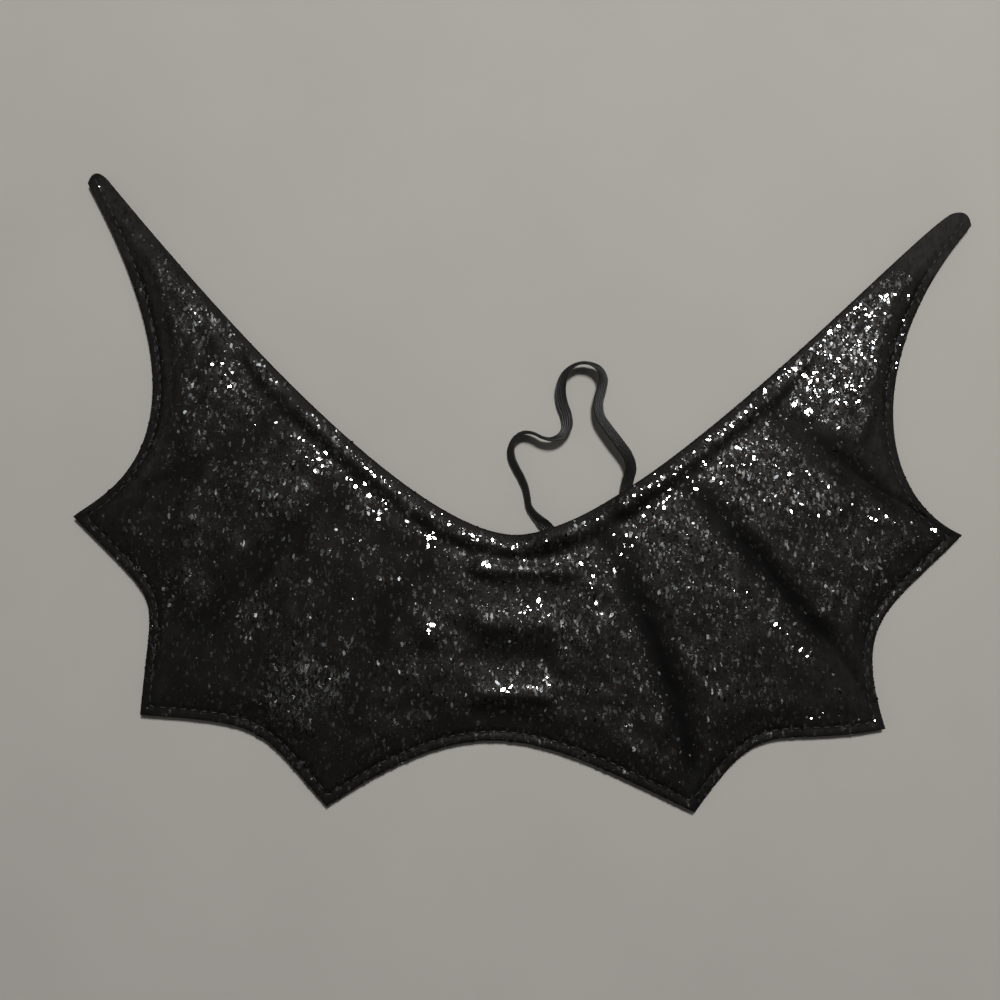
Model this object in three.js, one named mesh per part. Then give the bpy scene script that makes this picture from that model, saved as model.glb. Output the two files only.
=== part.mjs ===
// A small pair of costume bat wings, cut in one piece and lying flat, face up.
// A glitter cloth front is sewn to a plain backing all round and along creases that run like
// finger bones from the top edge to the points. A loop of flat elastic is caught in the top seam.
// Millimetres: x runs from the left tip to the right tip, y from the bottom points to the tips, z up.

import * as THREE from 'three';

// Cloth thicknesses, and the gap between the two cloths along the sewn edge
const BACKING_THICKNESS = 1.0;
const FRONT_THICKNESS = 1.2;
const LAYER_GAP = 0.3;

// Relief of the front: a roll along the top edge, a groove below it, then the puffed field
const ROLL_HEIGHT = 1.0;
const ROLL_CENTRE = 2.8;
const ROLL_BREADTH = 2.4;
const ROLL_TIP_FADE = 14;
const GROOVE_DISTANCE = 6.5;
const PUFF_SHOULDER = 9;

// The seam lifts where the elastic is caught in it
const SEAM_LIFT = 1.8;
const SEAM_LIFT_REACH = 6;

// Flat elastic
const ELASTIC_WIDTH = 3.2;
const ELASTIC_THICKNESS = 0.9;
const ELASTIC_STEPS = 72;

// Facets: columns across each panel between two ribs, and rows from the top edge to the hem.
// Rows near the two edges are given as distances, and columns shorter than FULL_LENGTH squeeze them.
const COLUMNS_PER_PANEL = 12;
const COLUMN_CROWDING = 0.5;
const TOP_ROWS = [0, 1.2, 2.8, 4.6, 6.5, 8.5];
const MIDDLE_ROWS = 9;
const HEM_ROWS = [4, 1.5, 0];
const FULL_LENGTH = 34;
const HALVINGS = 40;

// Top edge, as one curve from the neck to each tip: handles are steps from the curve's two ends
const NECK = { x: -2, y: -14 };
const TOP_EDGES = {
  left: { tip: { x: -122, y: 86.7 }, leave: [-31, 0], arrive: [26.3, -30] },
  right: { tip: { x: 121.5, y: 81 }, leave: [33, 0], arrive: [-12.8, -7.4] },
};

// Ribs from the top edge to the outline's points, left to right; the first and last are the tips.
// rootX: where the rib leaves the top edge; bow: how far its middle swings to the left of its run;
// depth: share of the puff that the sewn crease pulls down; breadth: half the crease's width.
const RIBS = [
  { name: 'left tip', rootX: -122, point: { x: -127.2, y: 85 }, bow: -2.3, depth: 0, breadth: 3 },
  { name: 'left side', rootX: -62, point: { x: -124.5, y: -11.5 }, bow: 4, depth: 0.6, breadth: 4.5 },
  { name: 'left lower', rootX: -39.5, point: { x: -102.5, y: -65 }, bow: -6, depth: 0.95, breadth: 4 },
  { name: 'left bottom', rootX: -18, point: { x: -51, y: -88 }, bow: -7, depth: 0.5, breadth: 4.5 },
  { name: 'right bottom', rootX: 16.5, point: { x: 47.5, y: -87.5 }, bow: 5, depth: 0.95, breadth: 3.6 },
  { name: 'right lower', rootX: 37.5, point: { x: 99, y: -64.5 }, bow: 3, depth: 1, breadth: 3.8 },
  { name: 'right side', rootX: 63, point: { x: 121.5, y: -11.5 }, bow: -3.5, depth: 0.85, breadth: 4 },
  { name: 'right tip', rootX: 121.5, point: { x: 127.2, y: 77.6 }, bow: 2.2, depth: 0, breadth: 3 },
];

// Panels between neighbouring ribs. The hem is a curve between the two points, with handles as steps
// from those points; puff is how far the cloth stands up in the middle.
const PANELS = [
  { name: 'left tip', leave: [45, -77], arrive: [7, 6.5], puff: 2.4 },
  { name: 'left upper', leave: [28, -26], arrive: [1, 36], puff: 2.2 },
  { name: 'left lower', leave: [34.5, -1.5], arrive: [-19.5, 20.5], puff: 2.6 },
  { name: 'centre', leave: [41, 28.5], arrive: [-42.5, 19], puff: 2.0 },
  { name: 'right lower', leave: [19.5, 28], arrive: [-31, -6.5], puff: 2.6 },
  { name: 'right upper', leave: [-8.5, 29], arrive: [-21.5, -21.5], puff: 2.4 },
  { name: 'right tip', leave: [-24.5, 10.5], arrive: [-31.5, -38], puff: 2.4 },
];

// Cross rolls and dips at the centre, from the neck down: half is half the roll's length
const CENTRE_ROLLS = [
  { name: 'collar roll', x: 0.5, y: -23.9, half: 16, height: 0.95, breadth: 2.2 },
  { name: 'upper roll', x: -2, y: -38.3, half: 13, height: 0.8, breadth: 4 },
  { name: 'middle dip', x: -1.5, y: -48, half: 12, height: -0.7, breadth: 5 },
  { name: 'lower roll', x: -1.5, y: -57.3, half: 12.5, height: 0.8, breadth: 2.8 },
  { name: 'hem dip', x: 0, y: -65, half: 11, height: -0.4, breadth: 3 },
];
const ROLL_END_FADE = 4;

// Route of the elastic from one caught end to the other. lift is the height of its lowest edge above
// the surface, turn its twist about its own length in degrees: 0 lies flat, 90 stands on edge.
const ELASTIC_ROUTE = [
  { x: 8.6, y: -13.9, lift: 1.3, turn: 0 },
  { x: 6.9, y: -11.8, lift: 1.2, turn: 12 },
  { x: 5.0, y: -9.9, lift: 1.0, turn: 48 },
  { x: 3.1, y: -8.1, lift: 0.5, turn: 62 },
  { x: 1.7, y: -6.0, lift: 0.3, turn: 66 },
  { x: 1.2, y: -3.4, lift: 0.2, turn: 66 },
  { x: 0.6, y: -0.8, lift: 0.2, turn: 64 },
  { x: -0.5, y: 1.8, lift: 0.2, turn: 60 },
  { x: -2.0, y: 4.5, lift: 0.2, turn: 58 },
  { x: -3.3, y: 7.3, lift: 0.2, turn: 56 },
  { x: -3.6, y: 10.2, lift: 0.3, turn: 58 },
  { x: -2.4, y: 13.0, lift: 0.6, turn: 64 },
  { x: -0.1, y: 14.6, lift: 1.0, turn: 72 },
  { x: 2.6, y: 14.3, lift: 1.5, turn: 80 },
  { x: 5.2, y: 13.1, lift: 1.7, turn: 80 },
  { x: 8.0, y: 12.8, lift: 1.5, turn: 66 },
  { x: 10.6, y: 14.2, lift: 1.1, turn: 44 },
  { x: 12.0, y: 16.8, lift: 0.8, turn: 24 },
  { x: 11.7, y: 20.0, lift: 0.7, turn: 14 },
  { x: 10.5, y: 23.4, lift: 0.8, turn: 14 },
  { x: 10.0, y: 27.0, lift: 1.0, turn: 24 },
  { x: 10.6, y: 30.3, lift: 1.2, turn: 44 },
  { x: 12.3, y: 32.9, lift: 1.5, turn: 64 },
  { x: 15.0, y: 34.5, lift: 1.7, turn: 76 },
  { x: 18.0, y: 34.5, lift: 1.8, turn: 70 },
  { x: 20.6, y: 33.1, lift: 1.8, turn: 50 },
  { x: 21.9, y: 30.5, lift: 1.7, turn: 34 },
  { x: 21.4, y: 27.2, lift: 1.6, turn: 26 },
  { x: 20.6, y: 23.6, lift: 1.7, turn: 24 },
  { x: 21.0, y: 19.8, lift: 2.1, turn: 24 },
  { x: 23.2, y: 16.2, lift: 2.5, turn: 20 },
  { x: 26.2, y: 12.2, lift: 2.7, turn: 16 },
  { x: 28.8, y: 8.5, lift: 2.5, turn: 12 },
  { x: 29.8, y: 5.2, lift: 2.0, turn: 8 },
  { x: 29.2, y: 2.2, lift: 1.5, turn: 3 },
  { x: 28.7, y: -0.4, lift: 1.3, turn: 0 },
  { x: 28.5, y: -3.2, lift: 1.3, turn: 0 },
];
const ELASTIC_EXITS = [{ x: 6.9, y: -11.8 }, { x: 28.6, y: -0.6 }];

// A rounded hill of a given breadth, and a smooth rise from 0 to 1
const hill = (distance, breadth) => Math.exp(-((distance / breadth) ** 2));
const rise = (distance, breadth) => THREE.MathUtils.smoothstep(distance, 0, breadth);
const mix = THREE.MathUtils.lerp;

function edgeCurve(start, end, leave, arrive) {
  return new THREE.CubicBezierCurve(
    new THREE.Vector2(start.x, start.y),
    new THREE.Vector2(start.x + leave[0], start.y + leave[1]),
    new THREE.Vector2(end.x + arrive[0], end.y + arrive[1]),
    new THREE.Vector2(end.x, end.y),
  );
}

const [leftTop, rightTop] = [TOP_EDGES.left, TOP_EDGES.right].map(
  (edge) => edgeCurve(NECK, edge.tip, edge.leave, edge.arrive),
);
const hems = PANELS.map(
  (panel, i) => edgeCurve(RIBS[i].point, RIBS[i + 1].point, panel.leave, panel.arrive),
);

// The point of the top edge at a given x, found by halving the curve
function topPoint(x) {
  const curve = x < NECK.x ? leftTop : rightTop;
  const reach = Math.abs(x - NECK.x);
  let near = 0;
  let far = 1;
  for (let i = 0; i < HALVINGS; i += 1) {
    const middle = (near + far) / 2;
    if (Math.abs(curve.getPoint(middle).x - NECK.x) > reach) far = middle;
    else near = middle;
  }
  return curve.getPoint(far);
}

// A column is a bowed line from the top edge to the hem, a share of the way across its panel
function makeColumn(panel, share) {
  const before = RIBS[panel];
  const after = RIBS[panel + 1];
  const top = topPoint(mix(before.rootX, after.rootX, share));
  const hem = hems[panel].getPointAt(share);
  return { panel, share, top, hem, bow: mix(before.bow, after.bow, share), length: top.distanceTo(hem) };
}

function columnPoint(column, along) {
  const run = column.hem.clone().sub(column.top);
  const swing = (4 * along * (1 - along) * column.bow) / column.length;
  const x = column.top.x + run.x * along - run.y * swing;
  const y = column.top.y + run.y * along + run.x * swing;
  return new THREE.Vector2(x, y);
}

// Columns crowd a little towards the ribs, where the creases are; neighbouring panels share a rib
function makeColumns() {
  const columns = [makeColumn(0, 0)];
  PANELS.forEach((_, panel) => {
    for (let k = 1; k <= COLUMNS_PER_PANEL; k += 1) {
      const even = k / COLUMNS_PER_PANEL;
      const crowded = 0.5 - 0.5 * Math.cos(Math.PI * even);
      columns.push(makeColumn(panel, mix(even, crowded, COLUMN_CROWDING)));
    }
  });
  return columns;
}

// Distances of a column's rows from the top edge
function rowDistances(length) {
  const squeeze = Math.min(1, length / FULL_LENGTH);
  const topRows = TOP_ROWS.map((distance) => distance * squeeze);
  const hemRows = HEM_ROWS.map((distance) => length - distance * squeeze);
  const middleRows = [];
  for (let k = 1; k <= MIDDLE_ROWS; k += 1) {
    middleRows.push(mix(topRows.at(-1), hemRows[0], k / (MIDDLE_ROWS + 1)));
  }
  return [...topRows, ...middleRows, ...hemRows];
}

// Puff across a panel, level with its neighbours' where they meet at a rib
function panelPuff(panel, share) {
  const puffOf = (i) => PANELS[THREE.MathUtils.clamp(i, 0, PANELS.length - 1)].puff;
  const own = puffOf(panel);
  const before = (own + puffOf(panel - 1)) / 2;
  const after = (own + puffOf(panel + 1)) / 2;
  return mix(mix(before, after, share), own, 4 * share * (1 - share));
}

// Height of the front cloth's face above the surface that the wings lie on
function faceHeight(column, distance, point) {
  const along = distance / column.length;
  const ribs = [column.panel, column.panel + 1].map((i) => RIBS[i]);
  const bounds = [0, 1].map((share) => columnPoint(makeColumn(column.panel, share), along));
  const width = bounds[0].distanceTo(bounds[1]);
  const toRibs = [column.share * width, (1 - column.share) * width];

  const toTip = Math.min(...toRibs.filter((_, i) => ribs[i].depth === 0), Infinity);
  const inside = Math.min(distance - GROOVE_DISTANCE, column.length - distance, toTip);
  let puff = panelPuff(column.panel, column.share) * rise(inside, PUFF_SHOULDER);
  toRibs.forEach((toRib, i) => {
    puff *= 1 - ribs[i].depth * hill(toRib, ribs[i].breadth);
  });

  let height = BACKING_THICKNESS + LAYER_GAP + FRONT_THICKNESS + puff;
  height += ROLL_HEIGHT * hill(distance - ROLL_CENTRE, ROLL_BREADTH) * rise(column.length, ROLL_TIP_FADE);
  CENTRE_ROLLS.forEach((roll) => {
    const toEnd = roll.half - Math.abs(point.x - roll.x);
    height += roll.height * hill(point.y - roll.y, roll.breadth) * rise(toEnd, ROLL_END_FADE);
  });
  ELASTIC_EXITS.forEach((exit) => {
    height += SEAM_LIFT * hill(Math.hypot(point.x - exit.x, point.y - exit.y), SEAM_LIFT_REACH);
  });
  return height;
}

// The front as a grid of points: one list of rows for each column
function frontGrid() {
  return makeColumns().map((column) => rowDistances(column.length).map((distance) => {
    const point = columnPoint(column, distance / column.length);
    return new THREE.Vector3(point.x, point.y, faceHeight(column, distance, point));
  }));
}

// The grid's border as column and row numbers: down the left tip, along the hem, up the right tip, back
function gridBorder(grid) {
  const lastColumn = grid.length - 1;
  const lastRow = grid[0].length - 1;
  const border = [];
  for (let j = 0; j < lastRow; j += 1) border.push([0, j]);
  for (let i = 0; i < lastColumn; i += 1) border.push([i, lastRow]);
  for (let j = lastRow; j > 0; j -= 1) border.push([lastColumn, j]);
  for (let i = lastColumn; i > 0; i -= 1) border.push([i, 0]);
  return border;
}

function closedGeometry(points, triangles) {
  const geometry = new THREE.BufferGeometry().setFromPoints(points);
  geometry.setIndex(triangles);
  geometry.computeVertexNormals();
  return geometry;
}

// A closed cloth wall under a grid of points
function clothGeometry(grid, thickness) {
  const rows = grid[0].length;
  const face = grid.flat();
  const under = face.map((p) => new THREE.Vector3(p.x, p.y, p.z - thickness));
  const faceIndex = ([i, j]) => i * rows + j;
  const underIndex = (cell) => face.length + faceIndex(cell);
  const triangles = [];
  for (let i = 0; i + 1 < grid.length; i += 1) {
    for (let j = 0; j + 1 < rows; j += 1) {
      const corners = [[i, j], [i, j + 1], [i + 1, j + 1], [i + 1, j]];
      const [a, b, c, d] = corners.map(faceIndex);
      const [e, f, g, h] = corners.map(underIndex);
      triangles.push(a, b, c, a, c, d, e, g, f, e, h, g);
    }
  }
  const border = gridBorder(grid);
  border.forEach((here, k) => {
    const next = border[(k + 1) % border.length];
    const [p, q] = [here, next].map(faceIndex);
    const [r, s] = [here, next].map(underIndex);
    triangles.push(q, p, r, q, r, s);
  });
  return closedGeometry([...face, ...under], triangles);
}

// The backing: the same outline, flat on both sides
function backingGeometry(grid) {
  const outline = gridBorder(grid).map(([i, j]) => new THREE.Vector2(grid[i][j].x, grid[i][j].y));
  return new THREE.ExtrudeGeometry(new THREE.Shape(outline), {
    depth: BACKING_THICKNESS,
    bevelEnabled: false,
  });
}

// Section of the flat elastic, across its width and its thickness, with rounded edges
function elasticSection() {
  const half = { width: ELASTIC_WIDTH / 2, thickness: ELASTIC_THICKNESS / 2 };
  const flat = half.width - half.thickness;
  const quarter = [[half.width, half.thickness / 2], [flat, half.thickness]];
  const mirrored = quarter.map(([x, y]) => [-x, y]).reverse();
  const upper = [...quarter, ...mirrored];
  return [...upper, ...upper.map(([x, y]) => [-x, -y])];
}

// Middle line of the elastic, as high as its lowest edge and its turn make it
function elasticLine() {
  const middles = ELASTIC_ROUTE.map(({ x, y, lift, turn }) => {
    const tilt = THREE.MathUtils.degToRad(turn);
    const halfHeight = (ELASTIC_WIDTH * Math.sin(tilt) + ELASTIC_THICKNESS * Math.cos(tilt)) / 2;
    return new THREE.Vector3(x, y, lift + halfHeight);
  });
  return new THREE.CatmullRomCurve3(middles, false, 'centripetal');
}

// Directions across and through the elastic, a share of the way along its line
function elasticDirections(line, along) {
  const place = along * (ELASTIC_ROUTE.length - 1);
  const before = Math.min(Math.floor(place), ELASTIC_ROUTE.length - 2);
  const turn = mix(ELASTIC_ROUTE[before].turn, ELASTIC_ROUTE[before + 1].turn, place - before);
  const tilt = THREE.MathUtils.degToRad(turn);
  const forward = line.getTangent(along);
  const side = new THREE.Vector3(forward.y, -forward.x, 0).normalize();
  const upward = side.clone().cross(forward);
  const across = side.clone().multiplyScalar(Math.cos(tilt)).addScaledVector(upward, Math.sin(tilt));
  const through = upward.multiplyScalar(Math.cos(tilt)).addScaledVector(side, -Math.sin(tilt));
  return { across, through };
}

// The elastic as a closed band swept along its line, turned about its length as it goes
function elasticGeometry() {
  const line = elasticLine();
  const section = elasticSection();
  const sides = section.length;
  const points = [];
  for (let step = 0; step <= ELASTIC_STEPS; step += 1) {
    const along = step / ELASTIC_STEPS;
    const { across, through } = elasticDirections(line, along);
    section.forEach(([x, y]) => {
      points.push(line.getPoint(along).addScaledVector(across, x).addScaledVector(through, y));
    });
  }
  const triangles = [];
  for (let step = 0; step < ELASTIC_STEPS; step += 1) {
    for (let k = 0; k < sides; k += 1) {
      const [a, b] = [k, (k + 1) % sides].map((n) => step * sides + n);
      triangles.push(a, b + sides, b, a, a + sides, b + sides);
    }
  }
  const last = ELASTIC_STEPS * sides;
  for (let k = 1; k + 1 < sides; k += 1) {
    triangles.push(0, k, k + 1, last, last + k + 1, last + k);
  }
  return closedGeometry(points, triangles);
}

function makePiece(name, geometry, look) {
  const piece = new THREE.Mesh(geometry, new THREE.MeshStandardMaterial(look));
  piece.name = name;
  return piece;
}

const GLITTER_CLOTH = { color: 0x0d0d11, roughness: 0.45, metalness: 0 };
const BACKING_CLOTH = { color: 0x0b0b0c, roughness: 0.9, metalness: 0 };
const ELASTIC_BRAID = { color: 0x1c1d1b, roughness: 0.6, metalness: 0 };

const grid = frontGrid();
const batWings = new THREE.Group();
batWings.add(
  makePiece('front_panel', clothGeometry(grid, FRONT_THICKNESS), GLITTER_CLOTH),
  makePiece('back_panel', backingGeometry(grid), BACKING_CLOTH),
  makePiece('elastic_loop', elasticGeometry(), ELASTIC_BRAID),
);

export default batWings;
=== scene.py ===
"""A small pair of costume bat wings in black glitter cloth, lying flat, face up.

Laid out as an add-on: each operator makes one piece, or one group of like pieces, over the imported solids.
Everything is in metres, in the frame of those solids.
"""

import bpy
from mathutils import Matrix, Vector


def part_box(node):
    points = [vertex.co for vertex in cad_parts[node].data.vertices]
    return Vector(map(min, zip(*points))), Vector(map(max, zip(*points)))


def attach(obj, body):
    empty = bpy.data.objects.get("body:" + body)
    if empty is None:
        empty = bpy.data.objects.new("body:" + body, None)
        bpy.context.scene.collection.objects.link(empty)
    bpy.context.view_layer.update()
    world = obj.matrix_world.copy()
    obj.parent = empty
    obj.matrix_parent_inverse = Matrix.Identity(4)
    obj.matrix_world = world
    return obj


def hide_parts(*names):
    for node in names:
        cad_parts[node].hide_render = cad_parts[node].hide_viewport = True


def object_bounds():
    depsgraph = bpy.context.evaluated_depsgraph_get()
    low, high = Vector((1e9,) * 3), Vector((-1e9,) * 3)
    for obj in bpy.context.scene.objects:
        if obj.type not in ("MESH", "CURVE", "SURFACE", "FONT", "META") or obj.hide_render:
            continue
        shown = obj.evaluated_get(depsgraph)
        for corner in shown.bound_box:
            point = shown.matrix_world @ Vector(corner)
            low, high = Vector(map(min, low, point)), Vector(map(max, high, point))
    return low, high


bl_info = {
    "name": "Glitter bat wings",
    "version": (1, 0, 0),
    "blender": (4, 5, 0),
    "location": "3D View > Sidebar > Bat wings",
    "description": "Makes costume bat wings of glitter cloth with a backing, stitches and an elastic loop",
    "category": "Add Mesh",
}

import math
from collections import namedtuple

import bpy
import numpy as np
from bpy.props import FloatProperty, FloatVectorProperty, IntProperty, PointerProperty
from mathutils import Matrix, Vector
from mathutils.bvhtree import BVHTree

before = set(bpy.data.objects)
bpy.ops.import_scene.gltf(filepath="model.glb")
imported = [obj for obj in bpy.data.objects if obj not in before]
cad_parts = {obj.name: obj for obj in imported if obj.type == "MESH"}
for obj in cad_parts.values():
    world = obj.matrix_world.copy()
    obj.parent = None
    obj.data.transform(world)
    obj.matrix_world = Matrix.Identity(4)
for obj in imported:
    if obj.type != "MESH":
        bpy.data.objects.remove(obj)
CAD_LOW, CAD_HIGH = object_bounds()
BACKING_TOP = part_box("back_panel")[1].z
FRONT_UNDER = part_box("front_panel")[0].z

# Top edge of the wings: one curve from the neck to each tip, with handles as steps from its two ends
TopEdge = namedtuple("TopEdge", "tip leave arrive")
NECK = (-0.002, -0.014)
LEFT_TOP = TopEdge((-0.1220, 0.0867), (-0.0310, 0.0), (0.0263, -0.0300))
RIGHT_TOP = TopEdge((0.1215, 0.0810), (0.0330, 0.0), (-0.0128, -0.0074))

# Ribs from the top edge to the points of the outline, left to right; the first and last are the tips.
# depth is the share of the puff that the crease takes away, before and after its reach to either side,
# and shift how far its lowest line lies past the rib.
Rib = namedtuple("Rib", "name root_x point bow depth before after shift")
RIBS = (
    Rib("left_tip", -0.1220, (-0.1272, 0.0850), -0.0023, 0.0, 0.0030, 0.0030, 0.0),
    Rib("left_side", -0.0620, (-0.1245, -0.0115), 0.0040, 0.60, 0.0050, 0.0045, 0.0),
    Rib("left_lower", -0.0395, (-0.1025, -0.0650), -0.0060, 0.72, 0.0046, 0.0042, 0.0),
    Rib("left_bottom", -0.0180, (-0.0510, -0.0880), -0.0070, 0.50, 0.0050, 0.0045, 0.0),
    Rib("right_bottom", 0.0165, (0.0475, -0.0875), 0.0050, 1.00, 0.0034, 0.0046, 0.0010),
    Rib("right_lower", 0.0375, (0.0990, -0.0645), 0.0030, 1.00, 0.0038, 0.0054, 0.0012),
    Rib("right_side", 0.0630, (0.1215, -0.0115), -0.0035, 0.95, 0.0042, 0.0060, 0.0012),
    Rib("right_tip", 0.1215, (0.1272, 0.0776), 0.0022, 0.0, 0.0030, 0.0030, 0.0),
)

# Panels between neighbouring ribs: the hem's handles as steps from its two points, and the puff's height
Panel = namedtuple("Panel", "name leave arrive puff")
PANELS = (
    Panel("left_tip", (0.0450, -0.0770), (0.0070, 0.0065), 0.0024),
    Panel("left_upper", (0.0280, -0.0260), (0.0010, 0.0360), 0.0022),
    Panel("left_lower", (0.0345, -0.0015), (-0.0195, 0.0205), 0.0026),
    Panel("centre", (0.0410, 0.0285), (-0.0425, 0.0190), 0.0020),
    Panel("right_lower", (0.0195, 0.0280), (-0.0310, -0.0065), 0.0026),
    Panel("right_upper", (-0.0085, 0.0290), (-0.0215, -0.0215), 0.0024),
    Panel("right_tip", (-0.0245, 0.0105), (-0.0315, -0.0380), 0.0024),
)

# Cross rolls and dips at the centre, from the neck down: half is half the roll's length
Roll = namedtuple("Roll", "name x y half height breadth")
CENTRE_ROLLS = (
    Roll("collar_roll", 0.0005, -0.0239, 0.0160, 0.00095, 0.0022),
    Roll("upper_roll", -0.0020, -0.0383, 0.0130, 0.00080, 0.0040),
    Roll("middle_dip", -0.0015, -0.0480, 0.0120, -0.00070, 0.0050),
    Roll("lower_roll", -0.0015, -0.0573, 0.0125, 0.00080, 0.0028),
    Roll("hem_dip", 0.0, -0.0650, 0.0110, -0.00040, 0.0030),
)
ROLL_END_FADE = 0.004

# Swells of the cloth: heading in degrees from +x, reach along the heading and across it, and height
Swell = namedtuple("Swell", "name x y heading along across height")
SWELLS = (
    Swell("right_wing_crest", 0.0985, 0.0330, 63, 0.0300, 0.0100, 0.0010),
    Swell("left_shoulder", -0.0850, 0.0220, 130, 0.0100, 0.0060, 0.0004),
    Swell("left_of_centre", -0.0250, -0.0421, 0, 0.0030, 0.0030, 0.0006),
    Swell("right_of_centre", 0.0210, -0.0393, 0, 0.0032, 0.0032, 0.00055),
)
SWELL_EDGE_FADE = 0.008

# Relief of the front cloth: distances are from the top edge, down a column
ROLL_CENTRE = 0.0039
ROLL_BREADTH = 0.0029
ROLL_TIP_FADE = 0.014
GROOVE_DISTANCE = 0.0062
TOP_SHOULDER = 0.0048
TOP_SHOULDER_SHARE = 0.45
PUFF_REACH = 0.026
PUFF_REACH_SHARE = 0.45
HEM_SHOULDER = 0.010

# The creases start shallow below the groove, and the roll and the groove fade on the way to both tips
CREASE_TOP_SHARE = 0.55
CREASE_TOP_FADE = 0.028
FLAT_WING_START = 0.066
FLAT_WING_FADE = 0.022
FLAT_WING_SHARE = 0.60

# The seam lifts where the elastic is caught in it
SEAM_LIFT = 0.0018
SEAM_LIFT_REACH = 0.006

# How far from the edge the lumps and crumples set in, and from the top edge the hem's stitches, and over
# what distance they do so. Lumps and crumples are sums of waves of nearly one length.
Onset = namedtuple("Onset", "start fade")
LUMP_ONSET = Onset(0.002, 0.006)
CRUMPLE_ONSET = Onset(0.0005, 0.003)
HEM_ONSET = Onset(GROOVE_DISTANCE, 0.002)
LUMP_SEED, CRUMPLE_SEED = 11, 12
CRUMPLE_WAVES = 30
CRUMPLE_LENGTHS = (0.7, 1.5)

# The cloth sinks along a seam, more at each stitch than between two, and its edge is nearly half round
SEAM_BREADTH = 0.0008
STITCH_PULL = 0.45
BACKING_SEAM_DEPTH = 0.00028
BACKING_SEAM_BREADTH = 0.0007
EDGE_ROUNDING = 0.94

# Facets of the cloths: rows near both edges are in millimetres from them, on columns of full length
COLUMNS_PER_PANEL = 76
COLUMN_CROWDING = 0.35
TOP_ROWS = (0, 0.05, 0.16, 0.35, 0.6, 1.0, 1.5, 2.0, 2.5, 3.0, 3.5, 4.0, 4.6, 5.2, 5.8, 6.4, 7.0, 7.7, 8.5)
MIDDLE_ROWS = 38
HEM_ROWS = (4.6, 4.1, 3.7, 3.3, 2.9, 2.5, 2.1, 1.7, 1.3, 1.0, 0.7, 0.45, 0.25, 0.1, 0)
MILLIMETRE = 0.001
FULL_LENGTH = 0.034
CURVE_SAMPLES = 1200

# Distances from the border: how many points are worked out at once, and the least square of a step
POINTS_AT_ONCE = 2000
LEAST_SQUARE = 1e-18

# Route of the elastic from one caught end to the other. lift is the height of its lowest edge above the
# surface, turn its twist about its own length in degrees: 0 lies flat, 90 stands on edge.
RoutePoint = namedtuple("RoutePoint", "x y lift turn")
ELASTIC_ROUTE = [RoutePoint(*row) for row in (
    (0.0086, -0.0139, 0.0013, 0),
    (0.0069, -0.0118, 0.0012, 12),
    (0.0050, -0.0099, 0.0010, 48),
    (0.0031, -0.0081, 0.0005, 62),
    (0.0017, -0.0060, 0.0003, 66),
    (0.0012, -0.0034, 0.0002, 66),
    (0.0006, -0.0008, 0.0002, 64),
    (-0.0005, 0.0018, 0.0002, 60),
    (-0.0020, 0.0045, 0.0002, 58),
    (-0.0033, 0.0073, 0.0002, 56),
    (-0.0036, 0.0102, 0.0003, 58),
    (-0.0024, 0.0130, 0.0006, 64),
    (-0.0001, 0.0146, 0.0010, 72),
    (0.0026, 0.0143, 0.0015, 80),
    (0.0052, 0.0131, 0.0017, 80),
    (0.0080, 0.0128, 0.0015, 66),
    (0.0106, 0.0142, 0.0011, 44),
    (0.0120, 0.0168, 0.0008, 24),
    (0.0117, 0.0200, 0.0007, 14),
    (0.0105, 0.0234, 0.0008, 14),
    (0.0100, 0.0270, 0.0010, 24),
    (0.0106, 0.0303, 0.0012, 44),
    (0.0123, 0.0329, 0.0015, 64),
    (0.0150, 0.0345, 0.0017, 76),
    (0.0180, 0.0345, 0.0018, 70),
    (0.0206, 0.0331, 0.0018, 50),
    (0.0219, 0.0305, 0.0017, 34),
    (0.0214, 0.0272, 0.0016, 26),
    (0.0206, 0.0236, 0.0017, 24),
    (0.0210, 0.0198, 0.0021, 24),
    (0.0232, 0.0162, 0.0025, 20),
    (0.0262, 0.0122, 0.0027, 16),
    (0.0288, 0.0085, 0.0025, 12),
    (0.0298, 0.0052, 0.0020, 8),
    (0.0292, 0.0022, 0.0015, 3),
    (0.0287, -0.0004, 0.0013, 0),
    (0.0285, -0.0032, 0.0013, 0),
)]

# Where the elastic leaves the seam, its facets along and across, how square its section is, and how deep
# the dips between its cords are as a share of its thickness
ELASTIC_EXITS = ((0.0069, -0.0118), (0.0286, -0.0006))
ELASTIC_STEPS_PER_POINT = 9
ELASTIC_SAMPLES_ACROSS = 61
ELASTIC_SQUARENESS = 5
ELASTIC_RIDGE_DEPTH = 0.42

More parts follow.
